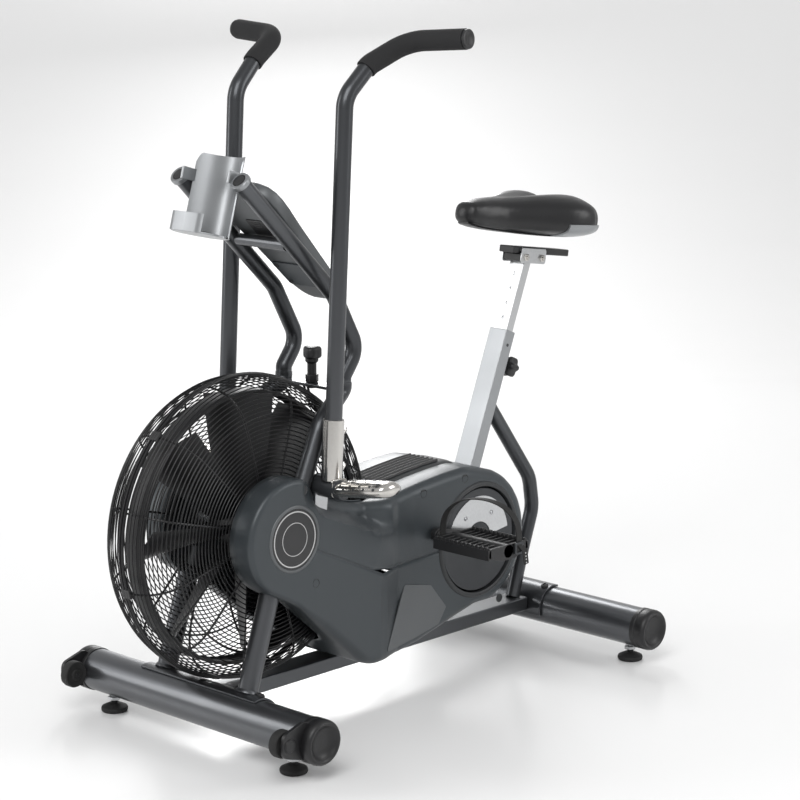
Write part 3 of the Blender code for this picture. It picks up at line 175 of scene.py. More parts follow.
def sweep(points, radius, segments=12, bore=0.0):
    """A round bar along the points, or a tube with both ends open when it has a bore."""
    rings = []
    normal = None
    for i, point in enumerate(points):
        before = points[max(i - 1, 0)]
        after = points[min(i + 1, len(points) - 1)]
        axis = (after - before).normalized()
        if normal is None:
            normal = frame_of(axis)[1]
        normal = (normal - axis * normal.dot(axis)).normalized()
        rings.append((point, normal, axis.cross(normal)))
    radii = [radius] if not bore else [radius, bore]
    verts = []
    for size in radii:
        for point, first, second in rings:
            for j in range(segments):
                turn = 2 * math.pi * j / segments
                verts.append(point + (first * math.cos(turn) + second * math.sin(turn)) * size)
    faces = grid_faces(len(rings), segments)
    count = len(rings) * segments
    if not bore:
        faces += [tuple(range(segments)), tuple(range(count - segments, count))]
        return verts, faces
    faces += [tuple(i + count for i in face) for face in grid_faces(len(rings), segments)]
    for base in (0, count - segments):
        for j in range(segments):
            k = (j + 1) % segments
            faces.append((base + j, base + k, base + k + count, base + j + count))
    return verts, faces


def prism(outline, low, high, axis="Y"):
    """The outline in X and Z drawn out along Y, or in X and Y drawn out along Z."""
    count = len(outline)
    if axis == "Y":
        verts = [(u, low, v) for u, v in outline] + [(u, high, v) for u, v in outline]
    else:
        verts = [(u, v, low) for u, v in outline] + [(u, v, high) for u, v in outline]
    faces = [tuple(range(count)), tuple(range(count, 2 * count))]
    faces += [(i, (i + 1) % count, (i + 1) % count + count, i + count) for i in range(count)]
    return verts, faces


def side_plate(outline, side, near, far):
    """A flat plate standing on one side of the bike, from near to far of its middle plane."""
    return prism(outline, *sorted((side * near, side * far)))


def arc(centre, radius, start, end, steps, tall=None):
    """Evenly spaced points round part of a circle, or of an ellipse, with its angles in degrees."""
    turns = [math.radians(start + (end - start) * i / steps) for i in range(steps + 1)]
    rise = radius if tall is None else tall
    return [(centre[0] + radius * math.cos(t), centre[1] + rise * math.sin(t)) for t in turns]


def spoke(turn):
    """The outward and the forward direction at an angle round an axis along Y."""
    return Vector((math.cos(turn), 0, math.sin(turn))), Vector((-math.sin(turn), 0, math.cos(turn)))


def rounded(corners, radius, steps=3):
    """A closed outline with its corners rounded."""
    count = len(corners)
    points = []
    for i, corner in enumerate(corners):
        here = Vector(corner)
        back = (Vector(corners[i - 1]) - here)
        on = (Vector(corners[(i + 1) % count]) - here)
        half = back.angle(on) / 2
        reach = min(radius / math.tan(half), 0.45 * back.length, 0.45 * on.length)
        for k in range(steps + 1):
            t = k / steps
            a = here + back.normalized() * reach
            b = here + on.normalized() * reach
            points.append(tuple((1 - t) ** 2 * a + 2 * t * (1 - t) * here + t * t * b))
    return points


def slab(outline_a, outline_b):
    """A solid between two outlines of the same number of points."""
    count = len(outline_a)
    faces = [tuple(range(count)), tuple(range(count, 2 * count))]
    faces += [(i, (i + 1) % count, (i + 1) % count + count, i + count) for i in range(count)]
    return list(outline_a) + list(outline_b), faces


def loft(sections):
    """Closed sections of equal length joined in order, with both ends filled."""
    columns = len(sections[0])
    verts = [tuple(p) for section in sections for p in section]
    faces = grid_faces(len(sections), columns)
    faces += [tuple(range(columns)), tuple(range(len(verts) - columns, len(verts)))]
    return verts, faces


def grid_faces(rows, columns, wrap=True):
    """The four-sided faces between rows of points, each row closed on itself when it wraps."""
    faces = []
    for i in range(rows - 1):
        for j in range(columns if wrap else columns - 1):
            k = (j + 1) % columns
            faces.append((i * columns + j, i * columns + k, (i + 1) * columns + k, (i + 1) * columns + j))
    return faces


def lobed(radius, depth, lobes, count):
    """A knob's outline: a circle with shallow finger hollows."""
    points = []
    for i in range(count):
        turn = 2 * math.pi * i / count
        size = radius - depth * (0.5 - 0.5 * math.cos(lobes * turn))
        points.append((size * math.cos(turn), size * math.sin(turn)))
    return points


def along_mast(distance, off, y):
    """A point beside the mast: distance up from its upper bend, off towards the rider."""
    normal = Vector((UP_MAST.z, 0, -UP_MAST.x))
    return LOW_BEND + UP_MAST * distance + normal * off + Vector((0, y, 0))


def pedal_axis(side):
    """Where the pedal spindle crosses the bike's side plane."""
    turn = CRANK_RISE if side == LEFT else CRANK_RISE + math.pi
    return CRANK_X - CRANK_LENGTH * math.cos(turn), CRANK_Z + CRANK_LENGTH * math.sin(turn)


def arm_point(x, z, y, side):
    """A point in an arm's own plane, turned to its leaning rest."""
    c, s = math.cos(ARM_LEAN), math.sin(ARM_LEAN)
    return PIVOT_X + x * c + z * s, side * y, PIVOT_Z - x * s + z * c


def seat_box(size, low, high):
    """A bar of the given section along the seat tube's leaning line, measured from its open top."""
    along = Vector((math.sin(SEAT_LEAN), 0, math.cos(SEAT_LEAN)))
    out = Vector((math.cos(SEAT_LEAN), 0, -math.sin(SEAT_LEAN)))
    rings = []
    for distance in (low, high):
        ring = []
        for u, v in ((-1, -1), (1, -1), (1, 1), (-1, 1)):
            ring.append(SEAT_TOP + along * distance + out * u * size[0] / 2 + Vector((0, v * size[1] / 2, 0)))
        rings.append(ring)
    return slab(*rings)


def guard_depth(radius):
    """How far the guard's outside stands from the middle plane at a distance from the fan axis."""
    stations = ((0.0, 0.084), (0.212, 0.084), (0.241, 0.080), (0.264, 0.067), (0.278, 0.046),
                (0.285, 0.022), (0.287, 0.0))
    if radius >= GUARD_R:
        return 0.0
    return float(np.interp(radius, [s[0] for s in stations], [s[1] for s in stations]))


def closed_loops(*loops):
    """A hollow frame or tube: loops of equal length joined in order, the last to the first."""
    count = len(loops[0])
    verts = [tuple(p) for loop in loops for p in loop]
    faces = []
    for a in range(len(loops)):
        b = (a + 1) % len(loops)
        for i in range(count):
            k = (i + 1) % count
            faces.append((a * count + i, a * count + k, b * count + k, b * count + i))
    return verts, faces


def joined(*shapes):
    """Several shapes as one list of points and faces."""
    verts, faces = [], []
    for points, cells in shapes:
        base = len(verts)
        verts += [tuple(p) for p in points]
        faces += [tuple(base + i for i in cell) for cell in cells]
    return verts, faces


def piece(name, shape, body, finish, stands_for=(), bevel=0.0, angle=35, subdivide=0):
    """Makes one shown piece from a shape, rounds its edges, and lets it ride on a body of the frame."""
    mesh = bpy.data.meshes.new(name)
    mesh.from_pydata([(v[0] - MIDDLE_X, v[1], v[2]) for v in shape[0]], [], shape[1])
    skin = bmesh.new()
    skin.from_mesh(mesh)
    bmesh.ops.remove_doubles(skin, verts=skin.verts, dist=1e-6)
    bmesh.ops.recalc_face_normals(skin, faces=skin.faces)
    skin.to_mesh(mesh)
    skin.free()
    obj = bpy.data.objects.new(name, mesh)
    bpy.context.scene.collection.objects.link(obj)
    mesh.materials.append(finish)
    mesh.shade_smooth()
    mesh.set_sharp_from_angle(angle=math.radians(angle))
    if bevel:
        edge = obj.modifiers.new("Rounded edges", "BEVEL")
        edge.width = bevel
        edge.segments = 2
        edge.limit_method = "ANGLE"
        edge.angle_limit = math.radians(40)
        edge.harden_normals = True
    if subdivide:
        fine = obj.modifiers.new("Smooth", "SUBSURF")
        fine.levels = fine.render_levels = subdivide
    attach(obj, body)
    if stands_for:
        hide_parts(*stands_for)
    return obj


# %% [markdown]
# ## Finishes
# Each finish is a colour with two scales of texture. A fine grain bends the light the way paint flake,
# moulded plastic, foam or vinyl does. A slow variation in roughness stops large panels looking flat. Most
# finishes also get a painted highlight: a lighter colour is mixed in where edges stand proud.

# %% One recipe for every finish
def finish(name, colour, metallic, rough, grain, depth, spread=0.06, edge_highlight=0.0, stretch=(1, 1, 1),
           cells=False, coat=0.0):
    material = bpy.data.materials.new(name)
    material.use_nodes = True
    tree = material.node_tree
    shader = tree.nodes["Principled BSDF"]
    shader.inputs["Metallic"].default_value = metallic
    shader.inputs["Coat Weight"].default_value = coat
    place = tree.nodes.new("ShaderNodeTexCoord")
    scale = tree.nodes.new("ShaderNodeMapping")
    scale.inputs["Scale"].default_value = stretch
    tree.links.new(place.outputs["Object"], scale.inputs["Vector"])
    if cells:
        fine = tree.nodes.new("ShaderNodeTexVoronoi")
        fine.feature = "SMOOTH_F1"
        height = fine.outputs["Distance"]
    else:
        fine = tree.nodes.new("ShaderNodeTexNoise")
        fine.inputs["Detail"].default_value = 3
        height = fine.outputs["Fac"]
    fine.inputs["Scale"].default_value = grain
    tree.links.new(scale.outputs["Vector"], fine.inputs["Vector"])
    bump = tree.nodes.new("ShaderNodeBump")
    bump.inputs["Strength"].default_value = 0.5
    bump.inputs["Distance"].default_value = depth
    tree.links.new(height, bump.inputs["Height"])
    tree.links.new(bump.outputs["Normal"], shader.inputs["Normal"])
    slow = tree.nodes.new("ShaderNodeTexNoise")
    slow.inputs["Scale"].default_value = 9
    slow.inputs["Detail"].default_value = 4
    tree.links.new(place.outputs["Object"], slow.inputs["Vector"])
    sheen = tree.nodes.new("ShaderNodeMapRange")
    sheen.inputs["To Min"].default_value = rough - spread
    sheen.inputs["To Max"].default_value = rough + spread
    tree.links.new(slow.outputs["Fac"], sheen.inputs["Value"])
    tree.links.new(sheen.outputs["Result"], shader.inputs["Roughness"])
    tint = tree.nodes.new("ShaderNodeMix")
    tint.data_type = "RGBA"
    tint.inputs["A"].default_value = (*[c * 0.88 for c in colour], 1)
    tint.inputs["B"].default_value = (*[min(1, c * 1.10) for c in colour], 1)
    tree.links.new(height, tint.inputs["Factor"])
    result = tint.outputs["Result"]
    # Painted highlight: edges that stand proud are mixed towards a lighter copy of the colour, as if they
    # caught the light.
    if edge_highlight:
        shape = tree.nodes.new("ShaderNodeNewGeometry")
        edge = tree.nodes.new("ShaderNodeMapRange")
        edge.inputs["From Min"].default_value = 0.53
        edge.inputs["From Max"].default_value = 0.62
        edge.inputs["To Max"].default_value = edge_highlight
        tree.links.new(shape.outputs["Pointiness"], edge.inputs["Value"])
        highlighted = tree.nodes.new("ShaderNodeMix")
        highlighted.data_type = "RGBA"
        highlighted.inputs["B"].default_value = (*[min(1, c * 2.2 + 0.05) for c in colour], 1)
        tree.links.new(edge.outputs["Result"], highlighted.inputs["Factor"])
        tree.links.new(result, highlighted.inputs["A"])
        result = highlighted.outputs["Result"]
    tree.links.new(result, shader.inputs["Base Color"])
    return material


# %% The finishes themselves
PAINT = finish("charcoal_metallic_paint", (0.060, 0.063, 0.068), 0.8, 0.32, 2600, 0.00006, edge_highlight=0.5,
               coat=0.15)
SHELL = finish("slate_moulded_shell", (0.046, 0.054, 0.060), 0.25, 0.38, 1500, 0.00009, edge_highlight=0.15)
SHELL_DARK = finish("dark_moulded_shell", (0.02, 0.022, 0.024), 0.0, 0.48, 1300, 0.00012, edge_highlight=0.2)
BLACK = finish("black_moulded_plastic", (0.010, 0.010, 0.011), 0.0, 0.42, 1200, 0.0001, edge_highlight=0.25)
WIRE = finish("black_coated_wire", (0.006, 0.006, 0.007), 0.1, 0.36, 900, 0.00006)
RUBBER = finish("black_rubber", (0.012, 0.012, 0.012), 0.0, 0.72, 1400, 0.00018)
FOAM = finish("grip_foam", (0.014, 0.014, 0.015), 0.0, 0.86, 1100, 0.00035, cells=True)
CHROME = finish("polished_chrome", (0.62, 0.60, 0.57), 1.0, 0.16, 300, 0.00002, spread=0.05, edge_highlight=0.2)
STEEL = finish("turned_steel", (0.50, 0.51, 0.52), 1.0, 0.30, 260, 0.00004, stretch=(1, 22, 1))
SILVER = finish("brushed_silver", (0.56, 0.57, 0.58), 0.95, 0.30, 240, 0.00004, stretch=(1, 30, 1), edge_highlight=0.3)
SILVER_PAINT = finish("silver_paint", (0.30, 0.31, 0.32), 0.75, 0.34, 2400, 0.00005, edge_highlight=0.3)
VINYL = finish("saddle_vinyl", (0.009, 0.009, 0.010), 0.0, 0.36, 520, 0.00022, cells=True, spread=0.05)
DISC = finish("graphite_disc", (0.045, 0.048, 0.052), 0.5, 0.34, 1500, 0.00006, edge_highlight=0.2)
LABEL = finish("pale_print", (0.55, 0.55, 0.55), 0.1, 0.5, 900, 0.00003)
PANEL_GREY = finish("lower_panel_grey", (0.12, 0.127, 0.132), 0.4, 0.42, 1700, 0.00007)
print("finishes:", len(bpy.data.materials))

# %% [markdown]
# ## Base
# Two round cross tubes stand on four threaded feet, joined by one flat rectangular beam. The ends are
# closed by moulded plugs with a dished face; the front pair also carries a small wheel, so that the bike
# can be tipped and rolled away. Saddle plates spread the weld where the fork and beam meet the tubes.

# %% Cross tubes, beam and plates
for end, x in (("front", FRONT_X), ("rear", REAR_X)):
    ring = [(STABILISER_R, -STABILISER_HALF), (STABILISER_R, STABILISER_HALF),
            (STABILISER_R - 0.0025, STABILISER_HALF),
            (STABILISER_R - 0.0025, -STABILISER_HALF)]
    piece(f"{end}_cross_tube", lathe(ring, (x, 0, TUBE_Z), (0, 1, 0), 72), "base", PAINT,
          [f"{end}_stabiliser"])
front, rear = FRONT_X + STABILISER_R + 0.0055, REAR_X - STABILISER_R - 0.0055
beam = box((front, -BEAM_HALF_Y, BEAM_LOW), (rear, BEAM_HALF_Y, BEAM_TOP))
piece("flat_beam", beam, "base", PAINT, ["base_beam"], bevel=0.003)


def plate_over_tube(name, x, turn_low, turn_high, y_low, y_high, stands_for):
    inner, outer, steps = STABILISER_R + 0.0006, STABILISER_R + 0.0048, 28
    turns = [turn_low + (turn_high - turn_low) * i / steps for i in range(steps + 1)]
    arc = [(x + outer * math.cos(t), TUBE_Z + outer * math.sin(t)) for t in turns]
    arc += [(x + inner * math.cos(t), TUBE_Z + inner * math.sin(t)) for t in reversed(turns)]
    piece(name, prism(arc, y_low, y_high), "base", PAINT, [stands_for], bevel=0.0009)


plate_over_tube("front_weld_plate", FRONT_X, -0.35, math.pi / 2 + 0.35, -0.164, 0.150, "front_saddle_plate")
plate_over_tube("rear_weld_plate", REAR_X, math.pi / 2 - 0.35, math.pi + 0.35, -0.060, 0.060,
                "rear_saddle_plate")


def bolt_head(spot, way, radius, height):
    """A button head bolt with a hexagon socket."""
    outline = [(0, height * 0.55), (radius * 0.42, height * 0.55), (radius * 0.46, height),
               (radius * 0.75, height * 0.92),
               (radius, height * 0.4), (radius, 0), (0, 0)]
    return lathe(outline, spot, way, 24)


bolts = []
for x, turn, radius, places in ((FRONT_X, 62, 0.0085, (-0.140, -0.082, 0.082, 0.128)),
                                (REAR_X, 108, 0.0080, (-0.047, 0.047))):
    way = spoke(math.radians(turn))[0]
    for y in places:
        bolts.append(bolt_head(Vector((x, y, TUBE_Z)) + way * 0.0446, way, radius, 0.0055))
piece("plate_bolts", joined(*bolts), "base", BLACK)
print("base plates and bolts made")

# %% End plugs, wheels and feet
start = STABILISER_HALF + GAP
plug = [(0, start - 0.018), (0.0360, start - 0.018), (0.0362, start), (0.0408, start),
        (0.0417, start + 0.0016),
        (0.0418, start + 0.010), (0.0408, start + 0.0112), (0.0410, start + 0.0125), (0.0418, start + 0.0140),
        (0.0418, CAP_END - 0.009), (0.0408, CAP_END - 0.0045), (0.0388, CAP_END - 0.0015), (0.0365, CAP_END),
        (0.0335, CAP_END - 0.0004), (0.0312, CAP_END - 0.0022), (0.0285, CAP_END - 0.0056),
        (0.0230, CAP_END - 0.0088),
        (0.0130, CAP_END - 0.0106), (0, CAP_END - 0.0110)]
wheel = [(0.0046, 0.2760), (0.0100, 0.2760), (0.0112, 0.2772), (0.0118, 0.2790), (0.0212, 0.2790),
         (0.0225, 0.2782),
         (0.0243, 0.2790), (0.0254, 0.2815), (0.0255, 0.2930), (0.0245, 0.2958), (0.0225, 0.2968),
         (0.0212, 0.2955),
         (0.0118, 0.2955), (0.0112, 0.2973), (0.0100, 0.2985), (0.0046, 0.2985)]
for side in (LEFT, RIGHT):
    label = NAME_OF[side]
    for end, x in (("front", FRONT_X), ("rear", REAR_X)):
        shape = lathe(plug, (x, 0, TUBE_Z), (0, side, 0), 64)
        if end == "front":
            arm_line = rounded([(x - 0.082, 0.060), (x - 0.080, 0.101), (x - 0.03, 0.1165),
                                (x - 0.010, 0.105),
                                (x - 0.012, 0.040)], 0.016, 8)
            low, high = sorted((side * 0.3075, side * 0.3000))
            web = prism(arm_line, low, high)
            hub = lathe([(0, 0.2990), (0.0125, 0.2990), (0.0125, 0.3085), (0.0105, 0.3105), (0, 0.3105)],
                        (x - 0.066, 0, 0.080), (0, side, 0), 32)
            pin = rod((x - 0.066, side * 0.3035, 0.080), (x - 0.066, side * 0.2745, 0.080), 0.0042, 20)
            shape = joined(shape, web, hub, pin)
        piece(f"{end}_{label}_plug", shape, "base", BLACK, [f"{end}_{label}_end_cap"],
              bevel=0.0012)
    piece(f"{label}_roller", lathe(wheel, (FRONT_X - 0.066, 0, 0.080), (0, side, 0), 48), f"{label}_wheel",
          RUBBER,
          [f"{label}_transport_wheel"])
low = TUBE_Z - STABILISER_R
foot = [(0, 0), (0.0215, 0), (0.0245, 0.0012), (0.0256, 0.0035), (0.0256, 0.0070), (0.0245, 0.0095),
        (0.0200, 0.0118),
        (0.0130, 0.0150), (0.0110, 0.0162), (0.0062, 0.0166), (0.0062, 0.0250), (0, 0.0250)]
nut = [(0.0060, 0.0225), (0.0120, 0.0225), (0.0128, 0.0235), (0.0128, 0.0285), (0.0120, 0.0295),
       (0.0060, 0.0295)]
for end, x, reach in (("front", FRONT_X, FRONT_FOOT_Y), ("rear", REAR_X, REAR_FOOT_Y)):
    for side in (LEFT, RIGHT):
        spot = (x, side * reach, 0)
        label = f"{end}_{NAME_OF[side]}"
        piece(f"{label}_pad", lathe(foot, spot, (0, 0, 1), 48), f"{label}_leveller", RUBBER,
              [f"{label}_foot"])
        stud = joined(rod((x, side * reach, 0.024), (x, side * reach, low - GAP), 0.0056, 24),
                      lathe(nut, spot, (0, 0, 1), 6))
        piece(f"{label}_stud", stud, f"{label}_leveller", STEEL, bevel=0.0005, angle=30)
print("plugs, rollers and feet made")

# %% [markdown]
# ## Fan and cage
# The fan is a spider of broad pressed blades inside a hoop. The cage round it is welded from thin steel
# wire: close rings that keep fingers out and a few heavier ribs that hold them. Every ring is turned from
# a small circle, so the gaps between wires stay open and the fan shows through.

# %% The wire cage
def wire_ring(radius, depth, wire, side, segments=112, around=6):
    """One hoop of round wire about the fan's axis."""
    circle = arc((radius, depth), wire, 0, 360, around)[:-1]
    return lathe(circle, (FAN_X, 0, FAN_Z), (0, side, 0), segments)


def cage_line(count):
    """Points along the cage's outside from the middle opening round the shoulder, evenly spaced."""
    stations = [(0.098, 0.0840), (0.200, 0.0840), (0.222, 0.0825), (0.240, 0.0785), (0.2555, 0.0700),
                (0.2680, 0.0580),
                (0.2765, 0.0430), (0.2815, 0.0270), (0.2850, 0.0030)]
    points = [Vector(s) for s in stations]
    lengths = np.cumsum([0] + [(b - a).length for a, b in zip(points, points[1:])])
    spots = np.linspace(0, lengths[-1], count)
    return [(float(np.interp(s, lengths, [p.x for p in points])),
             float(np.interp(s, lengths, [p.y for p in points])))
            for s in spots]


RIBS = 12
for side in (LEFT, RIGHT):
    label = NAME_OF[side]
    rings = [wire_ring(r, d, 0.00115, side) for r, d in cage_line(31)[:-1]]
    rings.append(wire_ring(0.2848, 0.0035, 0.0026, side, around=8))
    rings.append(wire_ring(0.098, 0.0820, 0.0024, side, around=8))
    rings.append(wire_ring(0.222, 0.0800, 0.0020, side, around=8))
    ribs = []
    for i in range(RIBS):
        turn = 2 * math.pi * (i + 0.5) / RIBS
        line = []
        for r, d in cage_line(34):
            line.append(Vector((FAN_X + (r - 0.0022) * math.cos(turn), side * (d - 0.0016),
                                FAN_Z + (r - 0.0022) * math.sin(turn))))
        ribs.append(sweep(line, 0.0021, 8))
    piece(f"{label}_wire_cage", joined(*rings, *ribs), "base", WIRE, [f"{label}_fan_guard"])
clips = []
for i in range(6):
    turn = 2 * math.pi * (i + 0.25) / 6
    radial, round_way = spoke(turn)
    middle = Vector((FAN_X, 0, FAN_Z)) + radial * 0.2835
    ends = []
    for a in (-0.009, 0.009):
        ends.append([middle + round_way * a + radial * u + Vector((0, v, 0))
                     for u, v in ((-0.004, -0.011), (0.0035, -0.011), (0.0035, 0.011), (-0.004, 0.011))])
    clips.append(slab(*ends))
piece("cage_clips", joined(*clips), "base", BLACK, bevel=0.001)
print("cage wires per side:", 33 + RIBS)

# %% The fan wheel
BLADES, BLADE_ROOT, BLADE_TIP = 8, 0.034, FAN_R - 0.006
middle = Vector((FAN_X, 0, FAN_Z))
blades = []
for i in range(BLADES):
    turn = 2 * math.pi * i / BLADES
    radial, round_way = spoke(turn)
    rows = []
    for k in range(9):
        reach = BLADE_ROOT + (BLADE_TIP - BLADE_ROOT) * k / 8
        half = 0.036 + 0.012 * math.sin(math.pi * min(1, k / 7) / 2)
        lean = 0.016 + 0.026 * k / 8
        row = []
        for thick in (1, -1):
            for j in range(9):
                s = (-1 + 2 * j / 8) * thick
                curve = 0.010 * (1 - s * s)
                row.append(middle + radial * reach + Vector((0, half * s, 0))
                           + round_way * (lean * s + curve + 0.0011 * thick))
        rows.append(row)
    blades.append(loft(rows))
hub = lathe([(0.0084, -0.050), (0.030, -0.050), (0.034, -0.047), (0.040, -0.030), (0.040, 0.030),
             (0.034, 0.047), (0.030, 0.050),
             (0.0084, 0.050)], (FAN_X, 0, FAN_Z), (0, 1, 0), 48)
hoop = lathe([(FAN_R - 0.0065, -0.0220), (FAN_R - 0.0020, -0.0225), (FAN_R, -0.0200), (FAN_R, 0.0200),
              (FAN_R - 0.0020, 0.0225),
              (FAN_R - 0.0065, 0.0220), (FAN_R - 0.0030, 0.0180), (FAN_R - 0.0030, -0.0180)],
             (FAN_X, 0, FAN_Z), (0, 1, 0), 96)
piece("fan_rotor_wheel", joined(hub, hoop, *blades), "fan_rotor", BLACK, ["fan_wheel"],
      angle=50)
print("fan blades:", len(blades))

# %% [markdown]
# ## Fork, pivots and mast
# A strut leans from each end of the front tube to the fan axle, and an upright carries on to the mast. The
# mast is one bent tube a side. Bending keeps the wall whole, so every corner is a smooth arc.

# %% Fork sides
for side in (LEFT, RIGHT):
    label, y = NAME_OF[side], side * 0.111
    strut = sweep([Vector((FRONT_X + 0.016, y, TUBE_Z + 0.0385)), Vector((-0.3085, y, 0.335))], 0.019, 40)
    corners = [(-0.334, 0.318), (-0.276, 0.312), (-0.250, 0.385), (-0.180, 0.448), (-0.180, 0.492),
               (-0.262, 0.474),
               (-0.325, 0.415)]
    plate = side_plate(rounded(corners, 0.012, 6), side, 0.1005, 0.1055)
    upright = [(-0.2500, side * 0.1045, 0.440), (-0.186, side * 0.1035, 0.583),
               (-0.110, side * MAST_Y, 0.624),
               (-0.102, side * MAST_Y, 0.634), (-0.102, side * MAST_Y, 0.6460)]
    column = sweep(bent(upright, 0.05, 9), 0.0165, 36)
    stub = rod((PIVOT_X, side * 0.1010, PIVOT_Z), (PIVOT_X, side * 0.1790, PIVOT_Z), 0.0095, 28)
    end_bolt = bolt_head((PIVOT_X, side * 0.1788, PIVOT_Z), (0, side, 0), 0.0125, 0.0065)
    weld = lathe([(0.0188, -0.004), (0.0225, -0.001), (0.0215, 0.002), (0.0188, 0.005)],
                 (FRONT_X + 0.0165, y, TUBE_Z + 0.0415), Vector((0.0925, 0, 0.242)), 40)
    piece(f"{label}_fork_side", joined(strut, plate, column, stub, end_bolt, weld), "base", PAINT,
          [f"{label}_fork"])

# %% Mast tubes with their plugs
plugs, rings = [], []
for side in (LEFT, RIGHT):
    y = side * MAST_Y
    path = [(-0.102, y, 0.6463), (-0.102, y, 0.6560), (-0.066, y, 0.704), (LOW_BEND.x, y, LOW_BEND.z),
            (MAST_END.x, y, MAST_END.z)]
    piece(f"{NAME_OF[side]}_mast", sweep(bent(path, 0.06, 14), MAST_R, 36, bore=MAST_R - 0.002), "base",
          PAINT,
          [f"{NAME_OF[side]}_mast_tube"])
    mouth = MAST_END + Vector((0, y, 0))
    plugs.append(lathe([(0, -0.004), (0.0128, -0.004), (0.0128, 0.0085), (0.0115, 0.0108), (0, 0.0118)],
                       mouth, UP_MAST, 36))
    rings.append(lathe([(0.0131, 0.0004), (0.0187, 0.0004), (0.0190, 0.0030), (0.0187, 0.0085),
                        (0.0175, 0.0100),
                        (0.0131, 0.0100)], mouth, UP_MAST, 40))
piece("mast_plugs", joined(*plugs), "base", BLACK)
half = MAST_Y - 0.0165
bar = box((-0.122, -half, 0.6290), (-0.088, half, 0.6350))
piece("lower_bar", bar, "base", PAINT, ["mast_crossbar"], bevel=0.0012)
reach = MAST_Y - MAST_R
piece("upper_bar", rod((-0.2288, -reach, 0.9130), (-0.2288, reach, 0.9130), 0.011, 32), "base", PAINT,
      ["console_crossbar"])
base = Vector((-0.105, 0.0, 0.6355))
stem = lathe([(0, -0.0115), (0.0042, -0.0115), (0.0042, 0.0), (0.0088, 0.0), (0.0088, 0.036), (0.0125, 0.040),
              (0.0125, 0.047), (0, 0.047)], base, (0, 0, 1), 36)
hexes = joined(lathe([(0, -0.0112), (0.0092, -0.0112), (0.0098, -0.0100), (0.0098, -0.0072), (0, -0.0072)],
                     base, (0, 0, 1), 6),
               lathe([(0, 0.0002), (0.0125, 0.0002), (0.0130, 0.0012), (0.0130, 0.0150), (0, 0.0160)], base,
                     (0, 0, 1), 6))
piece("mast_knob_stem", joined(stem, hexes), "clamp_screw", BLACK, ["mast_knob"],
      bevel=0.0005)


def round_headed_knob(centre, direction, low, high, radius, depth, lobes):
    axis, first, second = frame_of(direction)
    outline = lobed(radius, depth, lobes, 96)
    rows = []
    for part, scale in ((0, 0.78), (0.05, 0.90), (0.14, 0.98), (0.25, 1.0), (0.70, 1.0), (0.84, 0.96),
                        (0.93, 0.87), (1, 0.70)):
        along = low + part * (high - low)
        rows.append([Vector(centre) + axis * along + first * u * scale + second * v * scale for u,
                     v in outline])
    return loft(rows)


piece("mast_knob_head", round_headed_knob(base, (0, 0, 1), 0.0455, 0.068, 0.0190, 0.0045, 3), "clamp_screw",
      BLACK,
      angle=60)
print("fork, mast and clamp screw made")

# %% [markdown]
# ## Console and bottle holder
# The console is a long drop-shaped case clipped to the rider's side of the mast. From the front one sees
# its underside: a battery door and a cover plate with four screws. The bottle holder is pressed metal.

# %% Console case
WIDTHS = [(-0.050, 0.018), (-0.046, 0.030), (-0.036, 0.042), (-0.020, 0.0515), (0.015, 0.058),
          (0.05, 0.0625), (0.09, 0.0675),
          (0.13, 0.0725), (0.17, 0.0785), (0.20, 0.0840), (0.225, 0.0860), (0.245, 0.0835), (0.260, 0.0740),
          (0.269, 0.0560), (0.272, 0.0300)]


def console_layer(off, inset):
    """The case's outline at a distance off the mast's axis, drawn in by a little."""
    outline = [(d, w) for d, w in WIDTHS] + [(d, -w) for d, w in reversed(WIDTHS)]
    points = []
    for d, w in outline:
        shrunk = 0.128 + (d - 0.128) * (1 - inset / 0.17)
        points.append(along_mast(shrunk, off, w * (1 - inset / 0.08)))
    return points


CASE_BACK = MAST_R + GAP


def case_slab(outline, near, far):
    """A flat piece on the console, its outline measured up the mast and across it."""
    return slab([along_mast(d, CASE_BACK + near, w) for d, w in outline],
                [along_mast(d, CASE_BACK + far, w) for d, w in outline])


def oblong(u_low, u_high, v_low, v_high, radius=0, steps=5):
    """A rectangle's corners in order, rounded when it has a radius."""
    corners = [(u_low, v_low), (u_high, v_low), (u_high, v_high), (u_low, v_high)]
    return rounded(corners, radius, steps) if radius else corners


layers = ((0.0, 0.0120), (0.0005, 0.0070), (0.0025, 0.0030), (0.0060, 0.0008), (0.0100, 0.0), (0.0200, 0.0),
          (0.0240, 0.0008),
          (0.0262, 0.0030), (0.0270, 0.0055))
case = loft([console_layer(CASE_BACK + off, inset) for off, inset in layers])
piece("console_case", case, "base", PANEL_GREY, ["console_housing"], angle=60)
screen = loft([console_layer(CASE_BACK + 0.0262, 0.0095), console_layer(CASE_BACK + 0.0276, 0.0100)])
piece("console_face", screen, "base", DISC, ["console_panel"], bevel=0.0004)
glass = rounded([(0.140, 0.052), (0.225, 0.062), (0.225, -0.062), (0.140, -0.052)], 0.010, 6)
window = case_slab(glass, 0.0274, 0.0282)
SCREEN = finish("dim_display", (0.035, 0.042, 0.040), 0.0, 0.12, 900, 0.00001, spread=0.02)
piece("display_window", window, "base", SCREEN)
keys = []
for w in (-0.036, -0.012, 0.012, 0.036):
    keys.append(case_slab(oblong(0.100, 0.118, w - 0.0085, w + 0.0085, 0.004), 0.0270, 0.0286))
piece("console_keys", joined(*keys), "base", SHELL, bevel=0.0005)
lid = case_slab(oblong(0.1325, 0.1875, -0.0255, 0.0255, 0.004), -0.0016, 0.0030)
grip_lines = []
for d in (0.170, 0.176, 0.182):
    grip_lines.append(case_slab(oblong(d - 0.0009, d + 0.0009, -0.010, 0.010), -0.0026, -0.0010))
piece("battery_lid", joined(lid, *grip_lines), "base", BLACK, ["battery_door"], bevel=0.0006)
cover = rounded([(-0.004, -0.047), (0.062, -0.052), (0.062, 0.052), (-0.004, 0.047)], 0.008, 6)
plate = case_slab(cover, -0.0032, 0.0010)
piece("console_cover_plate", plate, "base", SHELL, bevel=0.0007)
screws = []
